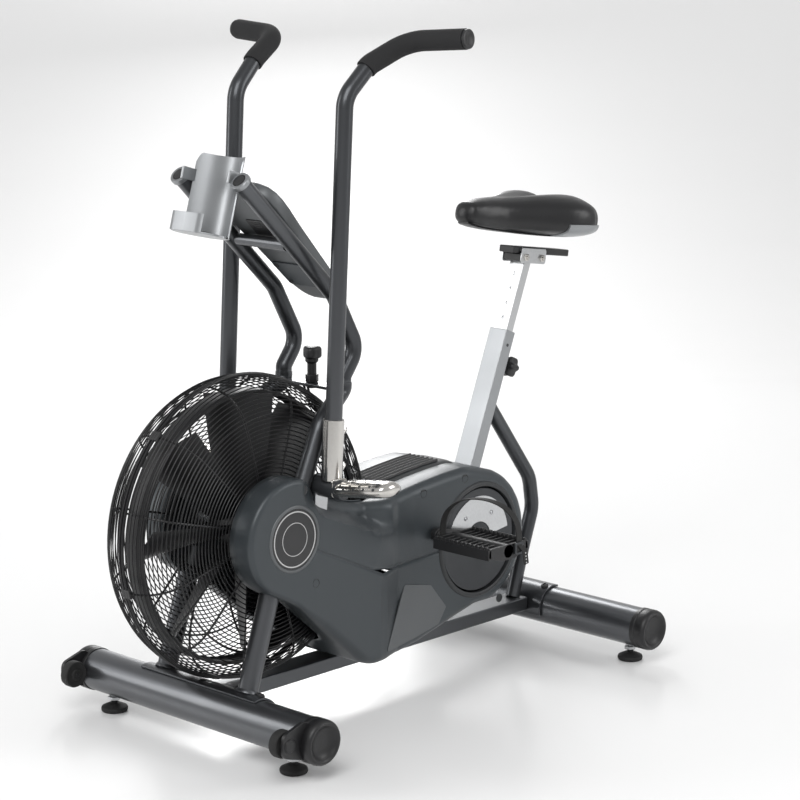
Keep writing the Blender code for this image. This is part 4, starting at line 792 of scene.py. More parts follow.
away = along_mast(0, 0, 0) - along_mast(0, 1, 0)
for d, w in ((0.006, -0.037), (0.006, 0.037), (0.053, -0.041), (0.053, 0.041)):
    screws.append(bolt_head(along_mast(d, CASE_BACK - 0.0031, w), away, 0.0048, 0.0026))
piece("cover_screws", joined(*screws), "base", BLACK)
print("console made")

# %% Bottle holder
lean = math.radians(16)
HOLDER_UP = Vector((math.sin(lean), 0, math.cos(lean)))
HOLDER_FRONT = Vector((-math.cos(lean), 0, math.sin(lean)))
HOLDER_BASE = Vector((-0.352, 0, 0.932))


def in_holder(u, y, v):
    """A point of the bottle holder: forward of its back, across, and up its lean."""
    return HOLDER_BASE + HOLDER_FRONT * u + HOLDER_UP * v + Vector((0, y, 0))


def holder_slab(outline, low, high, side=1):
    """A flat piece of the bottle holder, its outline measured forward and across."""
    return slab([in_holder(u, side * y, low) for u, y in outline],
                [in_holder(u, side * y, high) for u, y in outline])


def curved_wall(radius, wall, half, low_edge, high_edge, steps=40):
    """A curved sheet whose top and bottom edges follow the given lines round the arc."""
    centre, verts, faces = 0.062, [], []
    for i in range(steps + 1):
        t = -half + 2 * half * i / steps
        for r in (radius, radius + wall):
            for v in (low_edge(t), high_edge(t)):
                verts.append(in_holder(centre - r * math.cos(t), r * math.sin(t), v))
    for i in range(steps):
        a, b = 4 * i, 4 * i + 4
        faces += [(a, a + 1, b + 1, b), (a + 2, b + 2, b + 3, a + 3), (a, b, b + 2, a + 2),
                  (a + 1, a + 3, b + 3, b + 1)]
    faces += [(0, 2, 3, 1), (4 * steps, 4 * steps + 1, 4 * steps + 3, 4 * steps + 2)]
    return verts, faces


trough = curved_wall(0.0740, 0.0030, math.radians(54), lambda t: 0.0,
                     lambda t: 0.150 - 0.9 * max(0.0, abs(t) - 0.80) ** 2)
tray_edge = [(0.062 - 0.0750 * math.cos(t), 0.0750 * math.sin(t)) for t in np.linspace(-0.94, 0.94, 25)]
front_edge = bent([(0.0180, 0.0605, 0), (0.0440, 0.0590, 0), (0.0700, 0.0360, 0), (0.0715, 0.0, 0),
                   (0.0700, -0.0360, 0), (0.0440, -0.0590, 0), (0.0180, -0.0605, 0)], 0.02, 6)
tray_edge += [(p[0], p[1]) for p in front_edge]
tray = holder_slab(tray_edge, -0.0006, 0.0030)
lip = ([], [])
tab_edge = [p for p in front_edge if abs(p[1]) < 0.040]
for p in tab_edge:
    for reach in (1.0, 1.04):
        for v in (0.0, 0.034):
            lip[0].append(in_holder(0.030 + (p[0] - 0.030) * reach, p[1] * reach, v))
for i in range(len(tab_edge) - 1):
    a, b = 4 * i, 4 * i + 4
    lip[1].extend([(a, b, b + 1, a + 1), (a + 2, a + 3, b + 3, b + 2), (a, a + 2, b + 2, b),
                   (a + 1, b + 1, b + 3, a + 3)])
last = 4 * (len(tab_edge) - 1)
lip[1].extend([(0, 1, 3, 2), (last, last + 2, last + 3, last + 1)])
ribs = []
for y in (-0.030, -0.010, 0.010, 0.030):
    ribs.append(holder_slab(oblong(0.004, 0.056, y - 0.003, y + 0.003), 0.0028, 0.0052))
ears = []
for side in (LEFT, RIGHT):
    ear = rounded([(0.006, 0.0575), (0.046, 0.0580), (0.046, 0.0645), (0.006, 0.0650)], 0.002, 4)
    ears.append(holder_slab(ear, 0.096, 0.118, side))
shape = joined(trough, tray, lip, *ears, *rings)
piece("bottle_trough", shape, "base", SILVER_PAINT, ["bottle_holder"], bevel=0.0007)
piece("bottle_tray_ribs", joined(*ribs), "base", BLACK, bevel=0.0006)
print("bottle holder made")

# %% Sensor cables
for name, shift in (("sensor_cable", 0.0), ("speed_cable", 0.0095)):
    path = [(-0.098, 0.030 - shift, 0.6255), (-0.085, 0.028 - shift, 0.585),
            (-0.022 + shift * 0.5, 0.012 - shift, 0.520),
            (0.001, 0.006 - shift * 0.4, 0.4265)]
    stands = ["console_cable"] if shift == 0 else []
    piece(name, sweep(bent(path, 0.05, 14), 0.0024, 16), "base", RUBBER, stands)

# %% [markdown]
# ## Swinging arms
# Each arm is a bent tube clamped in a chromed socket. The socket, the pivot barrel, the foot peg and the
# short lever below it are one welded piece: the lever pushes a rod that meets an off-centre pin beside the
# crank, so the arms swing as the pedals turn.

# %% Arms, foam grips and end plugs
for side in (LEFT, RIGHT):
    label = NAME_OF[side]
    body = f"{label}_handle"
    corners = [(0.0, 0.0250, ARM_Y), (0.0, 0.712, ARM_Y), (0.052, 0.770, ARM_Y + 0.006),
               (0.128, 0.8150, ARM_Y + 0.030),
               (0.1470, 0.8235, ARM_Y + 0.160)]
    path = bent([Vector(arm_point(*corner, side)) for corner in corners], 0.055, 12)
    piece(f"{label}_arm_tube", sweep(path, ARM_R, 40, bore=ARM_R - 0.0022), body, PAINT,
          [f"{label}_arm"])
    first = Vector(arm_point(0.0363, 0.7527, ARM_Y, side))
    start = min(range(len(path)), key=lambda i: (path[i] - first).length)
    cover = path[start:-1] + [path[-1] - (path[-1] - path[-2]).normalized() * 0.006]
    fine = []
    for a, b in zip(cover, cover[1:]):
        fine += [a.lerp(b, i / 4) for i in range(4)]
    fine.append(cover[-1])
    sleeve = sweep(fine, ARM_R + 0.0034, 40, bore=ARM_R + 0.0002)
    piece(f"{label}_foam_grip", sleeve, body, FOAM, [f"{label}_grip"], bevel=0.0015)
    tip = (path[-1] - path[-2]).normalized()
    plug = lathe([(0, -0.0062), (0.0160, -0.0062), (0.0178, -0.0052), (0.0184, -0.0030), (0.0176, 0.0002),
                  (0.0150, 0.0010),
                  (0.0115, 0.0004), (0.0105, -0.0004), (0, 0.0004)], path[-1], tip, 40)
    piece(f"{label}_grip_plug", plug, body, BLACK, angle=50)
print("arms made")

# %% Pivot brackets and foot pegs
for side in (LEFT, RIGHT):
    label = NAME_OF[side]
    body = f"{label}_handle"
    barrel = lathe([(0.0098, 0.1065), (0.0165, 0.1065), (0.0185, 0.1080), (0.0185, 0.1755),
                    (0.0170, 0.1785), (0.0098, 0.1785)],
                   (PIVOT_X, 0, PIVOT_Z), (0, side, 0), 48)
    low, high = Vector(arm_point(0, 0.0145, ARM_Y, side)), Vector(arm_point(0, 0.128, ARM_Y, side))
    length = (high - low).length
    socket = lathe([(0, 0), (0.0185, 0), (0.0198, 0.0015), (0.0198, length - 0.001), (0.0190, length),
                    (ARM_R + 0.0003, length),
                    (ARM_R + 0.0003, 0.0095), (0, 0.0095)], low, high - low, 48)
    domes, seams = [], []
    for z in (0.040, 0.107):
        back, out = Vector(arm_point(0.0175, z, ARM_Y, side)), Vector(arm_point(0.0335, z, ARM_Y, side))
        axis = out - back
        domes.append(lathe([(0, 0), (0.0098, 0), (0.0102, 0.0010), (0.0102, 0.0030), (0.0086, 0.0034),
                            (0, 0.0034)], back, axis, 40))
        domes.append(lathe([(0, 0.003), (0.0082, 0.003), (0.0086, 0.004), (0.0086, 0.0085),
                            (0.0070, 0.0095), (0, 0.0095)], back,
                           axis, 6))
        cap = [(0, 0.009)] + [(0.0064 * math.cos(math.pi / 2 * i / 6),
                               0.009 + 0.0070 * math.sin(math.pi / 2 * i / 6))
                              for i in range(7)]
        domes.append(lathe(cap, back, axis, 32))
    piece(f"{label}_socket", socket, body, CHROME, [f"{label}_arm_bracket"])
    piece(f"{label}_dome_nuts", joined(*domes), body, CHROME)
    piece(f"{label}_pivot_barrel", barrel, body, DISC)
    gusset = []
    for u, z in ((-0.018, 0.020), (0.018, 0.020), (0.026, -0.002), (0.030, -0.014), (-0.006, -0.018),
                 (-0.018, -0.010)):
        gusset.append(arm_point(u, z, 0, side)[::2])
    sheet = side_plate(rounded(gusset, 0.006, 5), side, 0.1605, 0.1640)
    piece(f"{label}_peg_gusset", sheet, body, CHROME, bevel=0.0008)
    lever_end = arm_point(0, -LEVER, ARM_Y, side)
    outline = arc((PIVOT_X, PIVOT_Z), 0.0170, 0, 180, 16)
    outline += arc((lever_end[0], lever_end[2]), 0.0115, 180, 360, 16)
    lever = side_plate(outline, side, 0.1140, 0.1195)
    pin = lathe([(0, 0.0985), (0.0055, 0.0985), (0.0055, 0.1150), (0, 0.1150)],
                (lever_end[0], 0, lever_end[2]), (0, side, 0), 24)
    piece(f"{label}_lever", joined(lever, pin), body, STEEL)
    peg_way = Vector((0.10, side * 0.985, 0.12)).normalized()
    root = Vector((PIVOT_X + 0.008, side * 0.168, PIVOT_Z + 0.002))
    rows = []
    for along, scale in ((0, 0.88), (0.004, 0.97), (0.012, 1.0), (0.060, 1.0), (0.095, 0.98), (0.106, 0.90),
                         (0.112, 0.76),
                         (0.1160, 0.50), (0.1172, 0.20)):
        row = []
        for i in range(64):
            t = 2 * math.pi * i / 64
            row.append(root + peg_way * along
                       + Vector((0.031 * scale * math.cos(t), 0, 0.0160 * scale * math.sin(t))))
        rows.append(row)
    piece(f"{label}_foot_peg", loft(rows), body, CHROME, angle=60)
    holes = []
    for i in range(8):
        for j in range(5):
            t = math.radians(-8 + 38 * j + (19 if i % 2 else 0))
            along = 0.014 + 0.0115 * i
            out = Vector((math.cos(t) / 0.031, 0, math.sin(t) / 0.0160)).normalized()
            spot = root + peg_way * along + Vector((0.031 * math.cos(t), 0, 0.0160 * math.sin(t)))
            holes.append(lathe([(0, 0.0005), (0.0024, 0.0005), (0.0030, -0.0006), (0, -0.0006)], spot, out,
                               16))
    piece(f"{label}_peg_holes", joined(*holes), body, SHELL_DARK)
print("brackets and pegs made")

# %% [markdown]
# ## Crank set and pedals
# The left and right cranks stand half a turn apart on one axle. Each turns in front of a round disc that
# closes the hole in the housing. The pedals are cage shells with a toothed top and a toe strap.

# %% Discs and cranks
for side in (LEFT, RIGHT):
    label = NAME_OF[side]
    centre, way = (CRANK_X, 0, CRANK_Z), (0, side, 0)
    disc = lathe([(0.0093, DISC_OUT - 0.003), (DISC_R - 0.001, DISC_OUT - 0.003), (DISC_R, DISC_OUT - 0.002),
                  (DISC_R - 0.0012, DISC_OUT - 0.0004), (DISC_R - 0.006, DISC_OUT),
                  (DISC_R - 0.010, DISC_OUT - 0.0010),
                  (0.030, DISC_OUT - 0.0010), (0.027, DISC_OUT), (0.0093, DISC_OUT)], centre, way, 96)
    pin_z = CRANK_Z - side * ECCENTRIC
    pin = rod((CRANK_X, side * (DISC_OUT - 0.0020), pin_z), (CRANK_X, side * 0.1043, pin_z), 0.0065, 20)
    piece(f"{label}_disc", joined(disc, pin), "crank_set", DISC, [f"{label}_crank_disc"])
    outline = arc((CRANK_X, CRANK_Z), 0.088, 8, 172, 32) + arc((CRANK_X, CRANK_Z), 0.036, 172, 8, 16)
    if side == RIGHT:
        outline = [(2 * CRANK_X - x, 2 * CRANK_Z - z) for x, z in outline]
    plate = side_plate(outline, side, DISC_OUT - 0.0009, DISC_OUT + 0.0006)
    piece(f"{label}_disc_plate", plate, "crank_set", SILVER, bevel=0.0003)
    heads = []
    for turn in (52, 128):
        t = math.radians(turn if side == LEFT else turn + 180)
        heads.append(bolt_head((CRANK_X + 0.062 * math.cos(t), side * (DISC_OUT + 0.0005),
                                CRANK_Z + 0.062 * math.sin(t)), way,
                               0.0045, 0.0026))
    piece(f"{label}_disc_screws", joined(*heads), "crank_set", STEEL)
    px, pz = pedal_axis(side)
    pointing = math.degrees(math.atan2(pz - CRANK_Z, px - CRANK_X))
    outline = arc((CRANK_X, CRANK_Z), 0.0185, pointing + 90, pointing + 270, 16)
    outline += arc((px, pz), 0.0135, pointing - 90, pointing + 90, 16)
    arm = side_plate(outline, side, 0.1175, 0.1305)
    boss = lathe([(0.0093, DISC_OUT + 0.0006), (0.0195, DISC_OUT + 0.0006), (0.0195, 0.1315),
                  (0.0175, 0.1338), (0.0093, 0.1338)],
                 centre, way, 40)
    cap = lathe([(0, 0.1300), (0.0125, 0.1300), (0.0128, 0.1345), (0.0105, 0.1356), (0, 0.1360)], centre,
                way, 32)
    spindle = lathe([(0, 0.1280), (0.0105, 0.1280), (0.0105, 0.1335), (0.0070, 0.1345), (0.0070, 0.1600),
                     (0.0058, 0.1620),
                     (0.0055, PEDAL_Y[1] - 0.012), (0, PEDAL_Y[1] - 0.012)], (px, 0, pz), way, 28)
    piece(f"{label}_crank_arm", joined(arm, boss, cap, spindle), "crank_set", BLACK,
          [f"{label}_crank"],
          bevel=0.0016)
print("cranks made")

# %% Pedals, toe straps and buckles
for side in (LEFT, RIGHT):
    label = NAME_OF[side]
    body = f"{label}_pedal_unit"
    px, pz = pedal_axis(side)
    low, high = sorted((side * PEDAL_Y[0], side * PEDAL_Y[1]))
    half, shapes = 0.0570, []
    for y in (low, high):
        end = low + 0.006 if y == low else high - 0.006
        cheek = [(px - half, pz - 0.004), (px - half + 0.003, pz + 0.0125),
                 (px + half - 0.003, pz + 0.0125), (px + half, pz - 0.004),
                 (px + 0.040, pz - 0.010), (px + 0.018, pz - 0.0165), (px - 0.018, pz - 0.0165),
                 (px - 0.040, pz - 0.010)]
        shapes.append(prism(rounded(cheek, 0.004, 4), *sorted((y, end))))
    for u in (-half + 0.0040, half - 0.0040):
        shapes.append(box((px + u - 0.0040, low, pz - 0.0095), (px + u + 0.0040, high, pz + 0.0110)))
        for i in range(13):
            y = low + 0.007 + (high - low - 0.014) * i / 12
            tooth = [(px + u - 0.0042, pz + 0.0105), (px + u + 0.0042, pz + 0.0105),
                     (px + u + 0.0026, pz + 0.0155),
                     (px + u - 0.0026, pz + 0.0155)]
            shapes.append(prism(tooth, y - 0.0030, y + 0.0030))
    for i in range(9):
        y = low + 0.013 + (high - low - 0.026) * i / 8
        shapes.append(box((px - half + 0.006, y - 0.0016, pz - 0.0060),
                          (px + half - 0.006, y + 0.0016, pz + 0.0095)))
    core = lathe([(0.0072, PEDAL_Y[0]), (0.0135, PEDAL_Y[0]), (0.0135, PEDAL_Y[1]), (0, PEDAL_Y[1]),
                  (0, PEDAL_Y[1] - 0.010),
                  (0.0072, PEDAL_Y[1] - 0.010)], (px, 0, pz), (0, side, 0), 36)
    shapes.append(core)
    shapes.append(box((px - half + 0.004, low + 0.004, pz - 0.0015),
                      (px + half - 0.004, high - 0.004, pz + 0.0015)))
    piece(f"{label}_pedal_cage", joined(*shapes), body, BLACK, [f"{label}_pedal"],
          bevel=0.0008)
    inner, outer = PEDAL_Y[0] - 0.0020, PEDAL_Y[1] + 0.0020
    middle, reach, skew, path = (inner + outer) / 2, (outer - inner) / 2, 0.026, []
    for i in range(49):
        t = math.pi * i / 48
        across = -math.cos(t) * (1.0 + 0.16 * math.sin(t))
        path.append(Vector((px + skew * across, middle + reach * across,
                            pz + 0.002 + 0.088 * math.sin(t) ** 0.8)))
    path.insert(0, Vector((path[0].x, inner, pz - 0.007)))
    path.append(Vector((path[-1].x, outer, pz - 0.007)))
    rows = []
    for i, here in enumerate(path):
        tangent = (path[min(i + 1, len(path) - 1)] - path[max(i - 1, 0)]).normalized()
        out = tangent.cross(Vector((1, 0, 0))).normalized() * 0.0011
        rows.append([(p.x, side * p.y, p.z)
                     for p in (here - Vector((0.0075, 0, 0)) - out, here + Vector((0.0075, 0, 0)) - out,
                                                     here + Vector((0.0075, 0, 0)) + out,
                               here - Vector((0.0075, 0, 0)) + out)])
    tail = [(px + 0.0255, side * (PEDAL_Y[1] + 0.0042), pz + 0.010),
            (px + 0.040, side * (PEDAL_Y[1] + 0.0062), pz - 0.006),
            (px + 0.046, side * (PEDAL_Y[1] + 0.0052), pz - 0.034)]
    strip = []
    for i, p in enumerate(bent([Vector(p) for p in tail], 0.02, 6)):
        strip.append([(p.x - 0.0065, p.y - side * 0.0009, p.z),
                      (p.x + 0.0065, p.y - side * 0.0009, p.z + 0.002),
                      (p.x + 0.0065, p.y + side * 0.0009, p.z + 0.002),
                      (p.x - 0.0065, p.y + side * 0.0009, p.z)])
    piece(f"{label}_toe_strap", joined(loft(rows), loft(strip)), body, RUBBER,
          [f"{label}_pedal_strap"],
          bevel=0.0004)
    dots = []
    for i in range(4):
        spot = (px + 0.0415 + 0.0012 * i, side * (PEDAL_Y[1] + 0.0066 - 0.0002 * i), pz - 0.010 - 0.0065 * i)
        dots.append(lathe([(0, 0), (0.0015, 0), (0.0015, 0.0006), (0, 0.0006)], spot, (0, side, 0), 12))
    piece(f"{label}_strap_holes", joined(*dots), body, LABEL)
    outside = oblong(px + 0.013, px + 0.037, pz - 0.010, pz + 0.014, 0.006, 6)
    inside = oblong(px + 0.018, px + 0.032, pz - 0.0055, pz + 0.0095, 0.003, 6)
    near, far = side * (PEDAL_Y[1] + 0.0018), side * (PEDAL_Y[1] + 0.0058)
    buckle = closed_loops(*[[(x, y, z) for x, z in line]
                            for y, line in ((near, outside), (far, outside), (far, inside), (near, inside))])
    piece(f"{label}_buckle", buckle, body, DISC, bevel=0.0008)
print("pedals made")

# %% [markdown]
# ## Seat post and saddle
# A rectangular post slides in the leaning seat tube and is pinned by a spring knob. The saddle is a
# moulded foam body under stretched vinyl: two wide lobes, a channel between them, and a narrow nose.

# %% Seat tube, brace, post and knob
ALONG = Vector((math.sin(SEAT_LEAN), 0, math.cos(SEAT_LEAN)))
OUT = Vector((math.cos(SEAT_LEAN), 0, -math.sin(SEAT_LEAN)))
length = (SEAT_TOP.z - BEAM_TOP) / math.cos(SEAT_LEAN) - 0.0064


def tube_walls(size, bore, low, high):
    """A rectangular tube with both ends open."""
    outer, inner = seat_box(size, low, high)[0], seat_box(bore, low, high)[0]
    return closed_loops(outer[:4], outer[4:], inner[4:], inner[:4])


piece("seat_tube_walls", tube_walls(SEAT_TUBE, SEAT_BORE, -length, 0.0), "base", SILVER_PAINT,
      ["seat_tube"],
      bevel=0.0022)
spot = SEAT_TOP - ALONG * 0.030
holes = []
for side in (LEFT, RIGHT):
    holes.append(lathe([(0, 0), (0.0034, 0), (0.0034, 0.0004), (0, 0.0004)],
                       spot + Vector((0, side * 0.0230, 0)), (0, side, 0), 24))
piece("seat_tube_holes", joined(*holes), "base", SHELL_DARK)
shell = lathe([(0.0094, -0.034), (0.0240, -0.034), (0.0240, 0.034), (0.0094, 0.034)], (CRANK_X, 0, CRANK_Z),
              (0, 1, 0), 48)
piece("crank_bearing_shell", shell, "base", PAINT, bevel=0.001)
corner = [(0.3990, 0, 0.5160), (0.5290, 0, 0.3450), (0.5400, 0, 0.2780), (0.5100, 0, 0.1960),
          (0.4790, 0, BEAM_TOP + GAP)]
path = bent(corner, 0.07, 12)
brace = sweep(path, 0.0150, 40)
piece("rear_brace", brace, "base", PAINT, ["seat_brace"])
post = joined(tube_walls(POST, (POST[0] - 0.004, POST[1] - 0.004), -0.245, POST_SHOWING - 0.004),
              seat_box((POST[0] - 0.001, POST[1] - 0.001), POST_SHOWING - 0.008, POST_SHOWING - 0.003))
head = SEAT_TOP + ALONG * (POST_SHOWING - 0.004)
cradle = turned(box((head.x - 0.030, -0.023, head.z - 0.006), (head.x + 0.032, 0.023, head.z + 0.0085)),
                head, SADDLE_TILT)
piece("seat_post_bar", post, "post", SILVER, ["seat_post"], bevel=0.0016)
piece("seat_post_cradle", cradle, "post", BLACK, bevel=0.0015)
for i, mark in enumerate("2468"):
    text = bpy.data.curves.new(f"mark_{mark}", "FONT")
    text.body, text.size, text.extrude = mark, 0.0125, 0.0001
    text.align_x, text.align_y = "CENTER", "CENTER"
    obj = bpy.data.objects.new(f"height_mark_{mark}", text)
    bpy.context.scene.collection.objects.link(obj)
    spot = SEAT_TOP + ALONG * (0.118 - 0.031 * i) - OUT * (POST[0] / 2 + 0.0001) - Vector((MIDDLE_X, 0, 0))
    obj.matrix_world = Matrix.Translation(spot) @ Matrix((Vector((0, -1, 0)), ALONG,
                                                          -OUT)).transposed().to_4x4()
    text.materials.append(SHELL_DARK)
    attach(obj, "post")
centre = SEAT_TOP - ALONG * 0.066
face = SEAT_TUBE[0] / 2 + GAP
pin = lathe([(0, POST[0] / 2 + GAP), (0.0038, POST[0] / 2 + GAP), (0.0038, face), (0.0085, face),
             (0.0085, face + 0.012),
             (0.0070, face + 0.014), (0.0070, face + 0.022), (0, face + 0.022)], centre, OUT, 36)
collar = lathe([(0, face), (0.0118, face), (0.0122, face + 0.001), (0.0122, face + 0.0085),
                (0, face + 0.0095)], centre, OUT, 6)
piece("seat_knob_pin", joined(pin, collar), "seat_pin", STEEL, ["seat_knob"], bevel=0.0004)
piece("seat_knob_head", round_headed_knob(centre, OUT, face + 0.0195, face + 0.046, 0.0225, 0.0048, 6),
      "seat_pin", BLACK,
      angle=60)
print("seat post made")

# %% Saddle rails and clamp
top = head + Vector((0.008, 0, 0.0145))
rail = turned(box((top.x - 0.058, -0.0200, top.z - 0.0050), (top.x + 0.118, 0.0200, top.z + 0.0090)), head,
              SADDLE_TILT)
piece("saddle_rail", rail, "saddle_unit", BLACK, ["saddle_slider"], bevel=0.002)
cheeks, nuts = [], []
for side in (LEFT, RIGHT):
    y0, y1 = sorted((side * 0.0236, side * 0.0262))
    outline = rounded([(top.x - 0.040, top.z - 0.0240), (top.x + 0.038, top.z - 0.0240),
                       (top.x + 0.038, top.z + 0.0068),
                       (top.x - 0.040, top.z + 0.0068)], 0.007, 6)
    cheeks.append(turned(prism(outline, y0, y1), head, SADDLE_TILT))
    y2, y3 = sorted((side * 0.0180, side * 0.0260))
    cheeks.append(turned(box((top.x - 0.038, y2, top.z - 0.0005), (top.x + 0.036, y3, top.z + 0.0068)),
                         head, SADDLE_TILT))
    for u in (-0.026, 0.024):
        nut = lathe([(0, 0.0258), (0.0080, 0.0258), (0.0080, 0.0300), (0.0066, 0.0310), (0.0040, 0.0310),
                     (0.0040, 0.0340), (0, 0.0342)],
                    (top.x + u, 0, top.z - 0.0120), (0, side, 0), 6)
        nuts.append(turned(nut, head, SADDLE_TILT))
piece("saddle_cheeks", joined(*cheeks), "saddle_unit", SILVER, bevel=0.0006)
piece("saddle_nuts", joined(*nuts), "saddle_unit", CHROME, bevel=0.0004)

# %% Saddle cushion
def saddle_sections():
    """Station along the saddle, half width, underside, side height, lobe height and channel depth."""
    return (
        (0.0000, 0.0100, 0.026, 0.034, 0.043, 0.000),
        (0.0060, 0.0215, 0.019, 0.036, 0.054, 0.000),
        (0.0250, 0.0310, 0.013, 0.038, 0.063, 0.000),
        (0.0600, 0.0370, 0.009, 0.038, 0.069, 0.000),
        (0.1000, 0.0480, 0.007, 0.038, 0.073, 0.001),
        (0.1400, 0.0700, 0.006, 0.038, 0.079, 0.004),
        (0.1800, 0.0980, 0.005, 0.040, 0.086, 0.008),
        (0.2150, 0.1180, 0.005, 0.042, 0.091, 0.012),
        (0.2450, 0.1260, 0.006, 0.044, 0.093, 0.014),
        (0.2750, 0.1240, 0.009, 0.045, 0.089, 0.013),
        (0.2980, 0.1080, 0.014, 0.044, 0.078, 0.011),
        (0.3100, 0.0800, 0.022, 0.042, 0.062, 0.006),
    )


SADDLE_START = Vector((0.312, 0.0, 0.9130))
ROWS = np.array(saddle_sections())


def smooth_value(column, x):
    """A smooth curve through one measure of the saddle's sections."""
    xs, ys = ROWS[:, 0], ROWS[:, column]
    i = int(np.clip(np.searchsorted(xs, x) - 1, 0, len(xs) - 2))
    slopes = np.gradient(ys, xs)
    h = xs[i + 1] - xs[i]
    t = (x - xs[i]) / h
    return ((2 * t ** 3 - 3 * t ** 2 + 1) * ys[i] + (t ** 3 - 2 * t ** 2 + t) * h * slopes[i]
            + (3 * t ** 2 - 2 * t ** 3) * ys[i + 1] + (t ** 3 - t ** 2) * h * slopes[i + 1])


def saddle_point(x, turn, proud=0.0):
    """A point of the saddle's skin: x from the nose, turn round the section, proud of it by a little."""
    half, low, side_z, lobe, channel = (smooth_value(c, x) for c in range(1, 6))
    y = (half + proud) * math.copysign(abs(math.cos(turn)) ** 0.75, math.cos(turn))
    if math.sin(turn) >= 0:
        z = side_z + (lobe + proud - side_z) * math.sin(turn) ** 0.7
        z -= channel * 1.7 * math.exp(-(y / (0.26 * max(half, 0.02))) ** 2)
    else:
        z = side_z + (low - proud - side_z) * (-math.sin(turn)) ** 0.55
    return Vector((SADDLE_START.x + x, y, SADDLE_START.z - 0.030 + z))


stations = [0.310 * (0.5 - 0.5 * math.cos(math.pi * (0.02 + 0.96 * i / 70))) for i in range(71)]
rows = [[saddle_point(x, 2 * math.pi * i / 96) for i in range(96)] for x in stations]
rows = [[sum(rows[0], Vector()) / 96 * 0.6 + p * 0.4 for p in rows[0]]] + rows
body = turned(loft(rows), tuple(SADDLE_START), SADDLE_TILT)
cushion = piece("saddle_cushion", body, "saddle_unit", VINYL, ["saddle"], angle=180)
cushion.parent = None


def applied(obj):
    """Swaps an object's mesh for the one its modifiers make."""
    graph = bpy.context.evaluated_depsgraph_get()
    mesh = bpy.data.meshes.new_from_object(obj.evaluated_get(graph))
    obj.modifiers.clear()
    obj.data = mesh


remesh = cushion.modifiers.new("Even skin", "REMESH")
remesh.mode = "VOXEL"
remesh.voxel_size = 0.005
applied(cushion)
before = np.array([v.co for v in cushion.data.vertices])
held = cushion.vertex_groups.new(name="held")
for vertex in cushion.data.vertices:
    held.add([vertex.index], 1.0 if vertex.normal.z < -0.35 else 0.0, "REPLACE")
cloth = cushion.modifiers.new("Stretched vinyl", "CLOTH")
cloth.settings.quality = 6
cloth.settings.mass = 0.25
cloth.settings.tension_stiffness = 25
cloth.settings.compression_stiffness = 25
cloth.settings.bending_stiffness = 1.5
cloth.settings.vertex_group_mass = "held"
cloth.settings.use_pressure = True
cloth.settings.uniform_pressure_force = 4
cloth.settings.effector_weights.gravity = 0
cloth.point_cache.frame_start = 1
cloth.point_cache.frame_end = 20
for step in range(1, 21):
    bpy.context.scene.frame_set(step)
applied(cushion)
bpy.context.scene.frame_set(1)
after = np.array([v.co for v in cushion.data.vertices])
move = after - before
size = np.linalg.norm(move, axis=1, keepdims=True)
move *= np.minimum(1, 0.0025 / np.maximum(size, 1e-9))
settled = before + move
for vertex, place in zip(cushion.data.vertices, settled):
    vertex.co = place
cushion.data.shade_smooth()
print("vinyl settled, largest move mm:", round(float(size.max() * 1000), 2))
soft = cushion.modifiers.new("Soft", "CORRECTIVE_SMOOTH")
soft.iterations = 3
soft.use_only_smooth = True
applied(cushion)
fine = cushion.modifiers.new("Fine skin", "SUBSURF")
fine.levels = fine.render_levels = 1
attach(cushion, "saddle_unit")


def saddle_strip(x_low, x_high, turn_low, turn_high, proud, thick, steps=28, rows=12):
    """A thin shell lying on the saddle's skin between two stations."""
    verts, faces = [], []
    for layer in (proud, proud - thick):
        for i in range(steps + 1):
            x = x_low + (x_high - x_low) * i / steps
            for j in range(rows + 1):
                verts.append(saddle_point(x, turn_low + (turn_high - turn_low) * j / rows, layer))
    n, count = rows + 1, (steps + 1) * (rows + 1)
    for i in range(steps):
        for j in range(rows):
            a = i * n + j
            faces += [(a, a + 1, a + n + 1, a + n),
                      (a + count, a + n + count, a + n + 1 + count, a + 1 + count)]
    for i in range(steps):
        for j in (0, rows):
            a = i * n + j
            faces.append((a, a + n, a + n + count, a + count))
    for i in (0, steps):
        for j in range(rows):
            a = i * n + j
            faces.append((a, a + 1, a + 1 + count, a + count))
    return turned((verts, faces), tuple(SADDLE_START), SADDLE_TILT)


bumpers = [saddle_strip(0.205, 0.3085, math.radians(-4), math.radians(-62), 0.0028, 0.004),
           saddle_strip(0.205, 0.3085, math.radians(184), math.radians(242), 0.0028, 0.004)]
piece("saddle_bumpers", joined(*bumpers), "saddle_unit", SILVER_PAINT, bevel=0.001, angle=50)
base_plate = saddle_strip(0.008, 0.306, math.radians(-64), math.radians(-116), 0.0022, 0.004, 40, 16)
piece("saddle_base_board", base_plate, "saddle_unit", BLACK, angle=50)
print("saddle made")

# %% [markdown]
# ## Housing
# Two moulded halves cover the belt, the pulleys and the rods. In front they end in a round nose that sits on
# the cage; behind, a round opening lets the crank disc turn. Each half is a sheet that rises from its edge
# over a rounded shoulder, with a slanted facet where it narrows towards the rider's shins.

# %% Outline and width of the housing
SHROUD_SPINE = ((-0.294, 0.386), (-0.05, 0.275), (0.2465, 0.282))


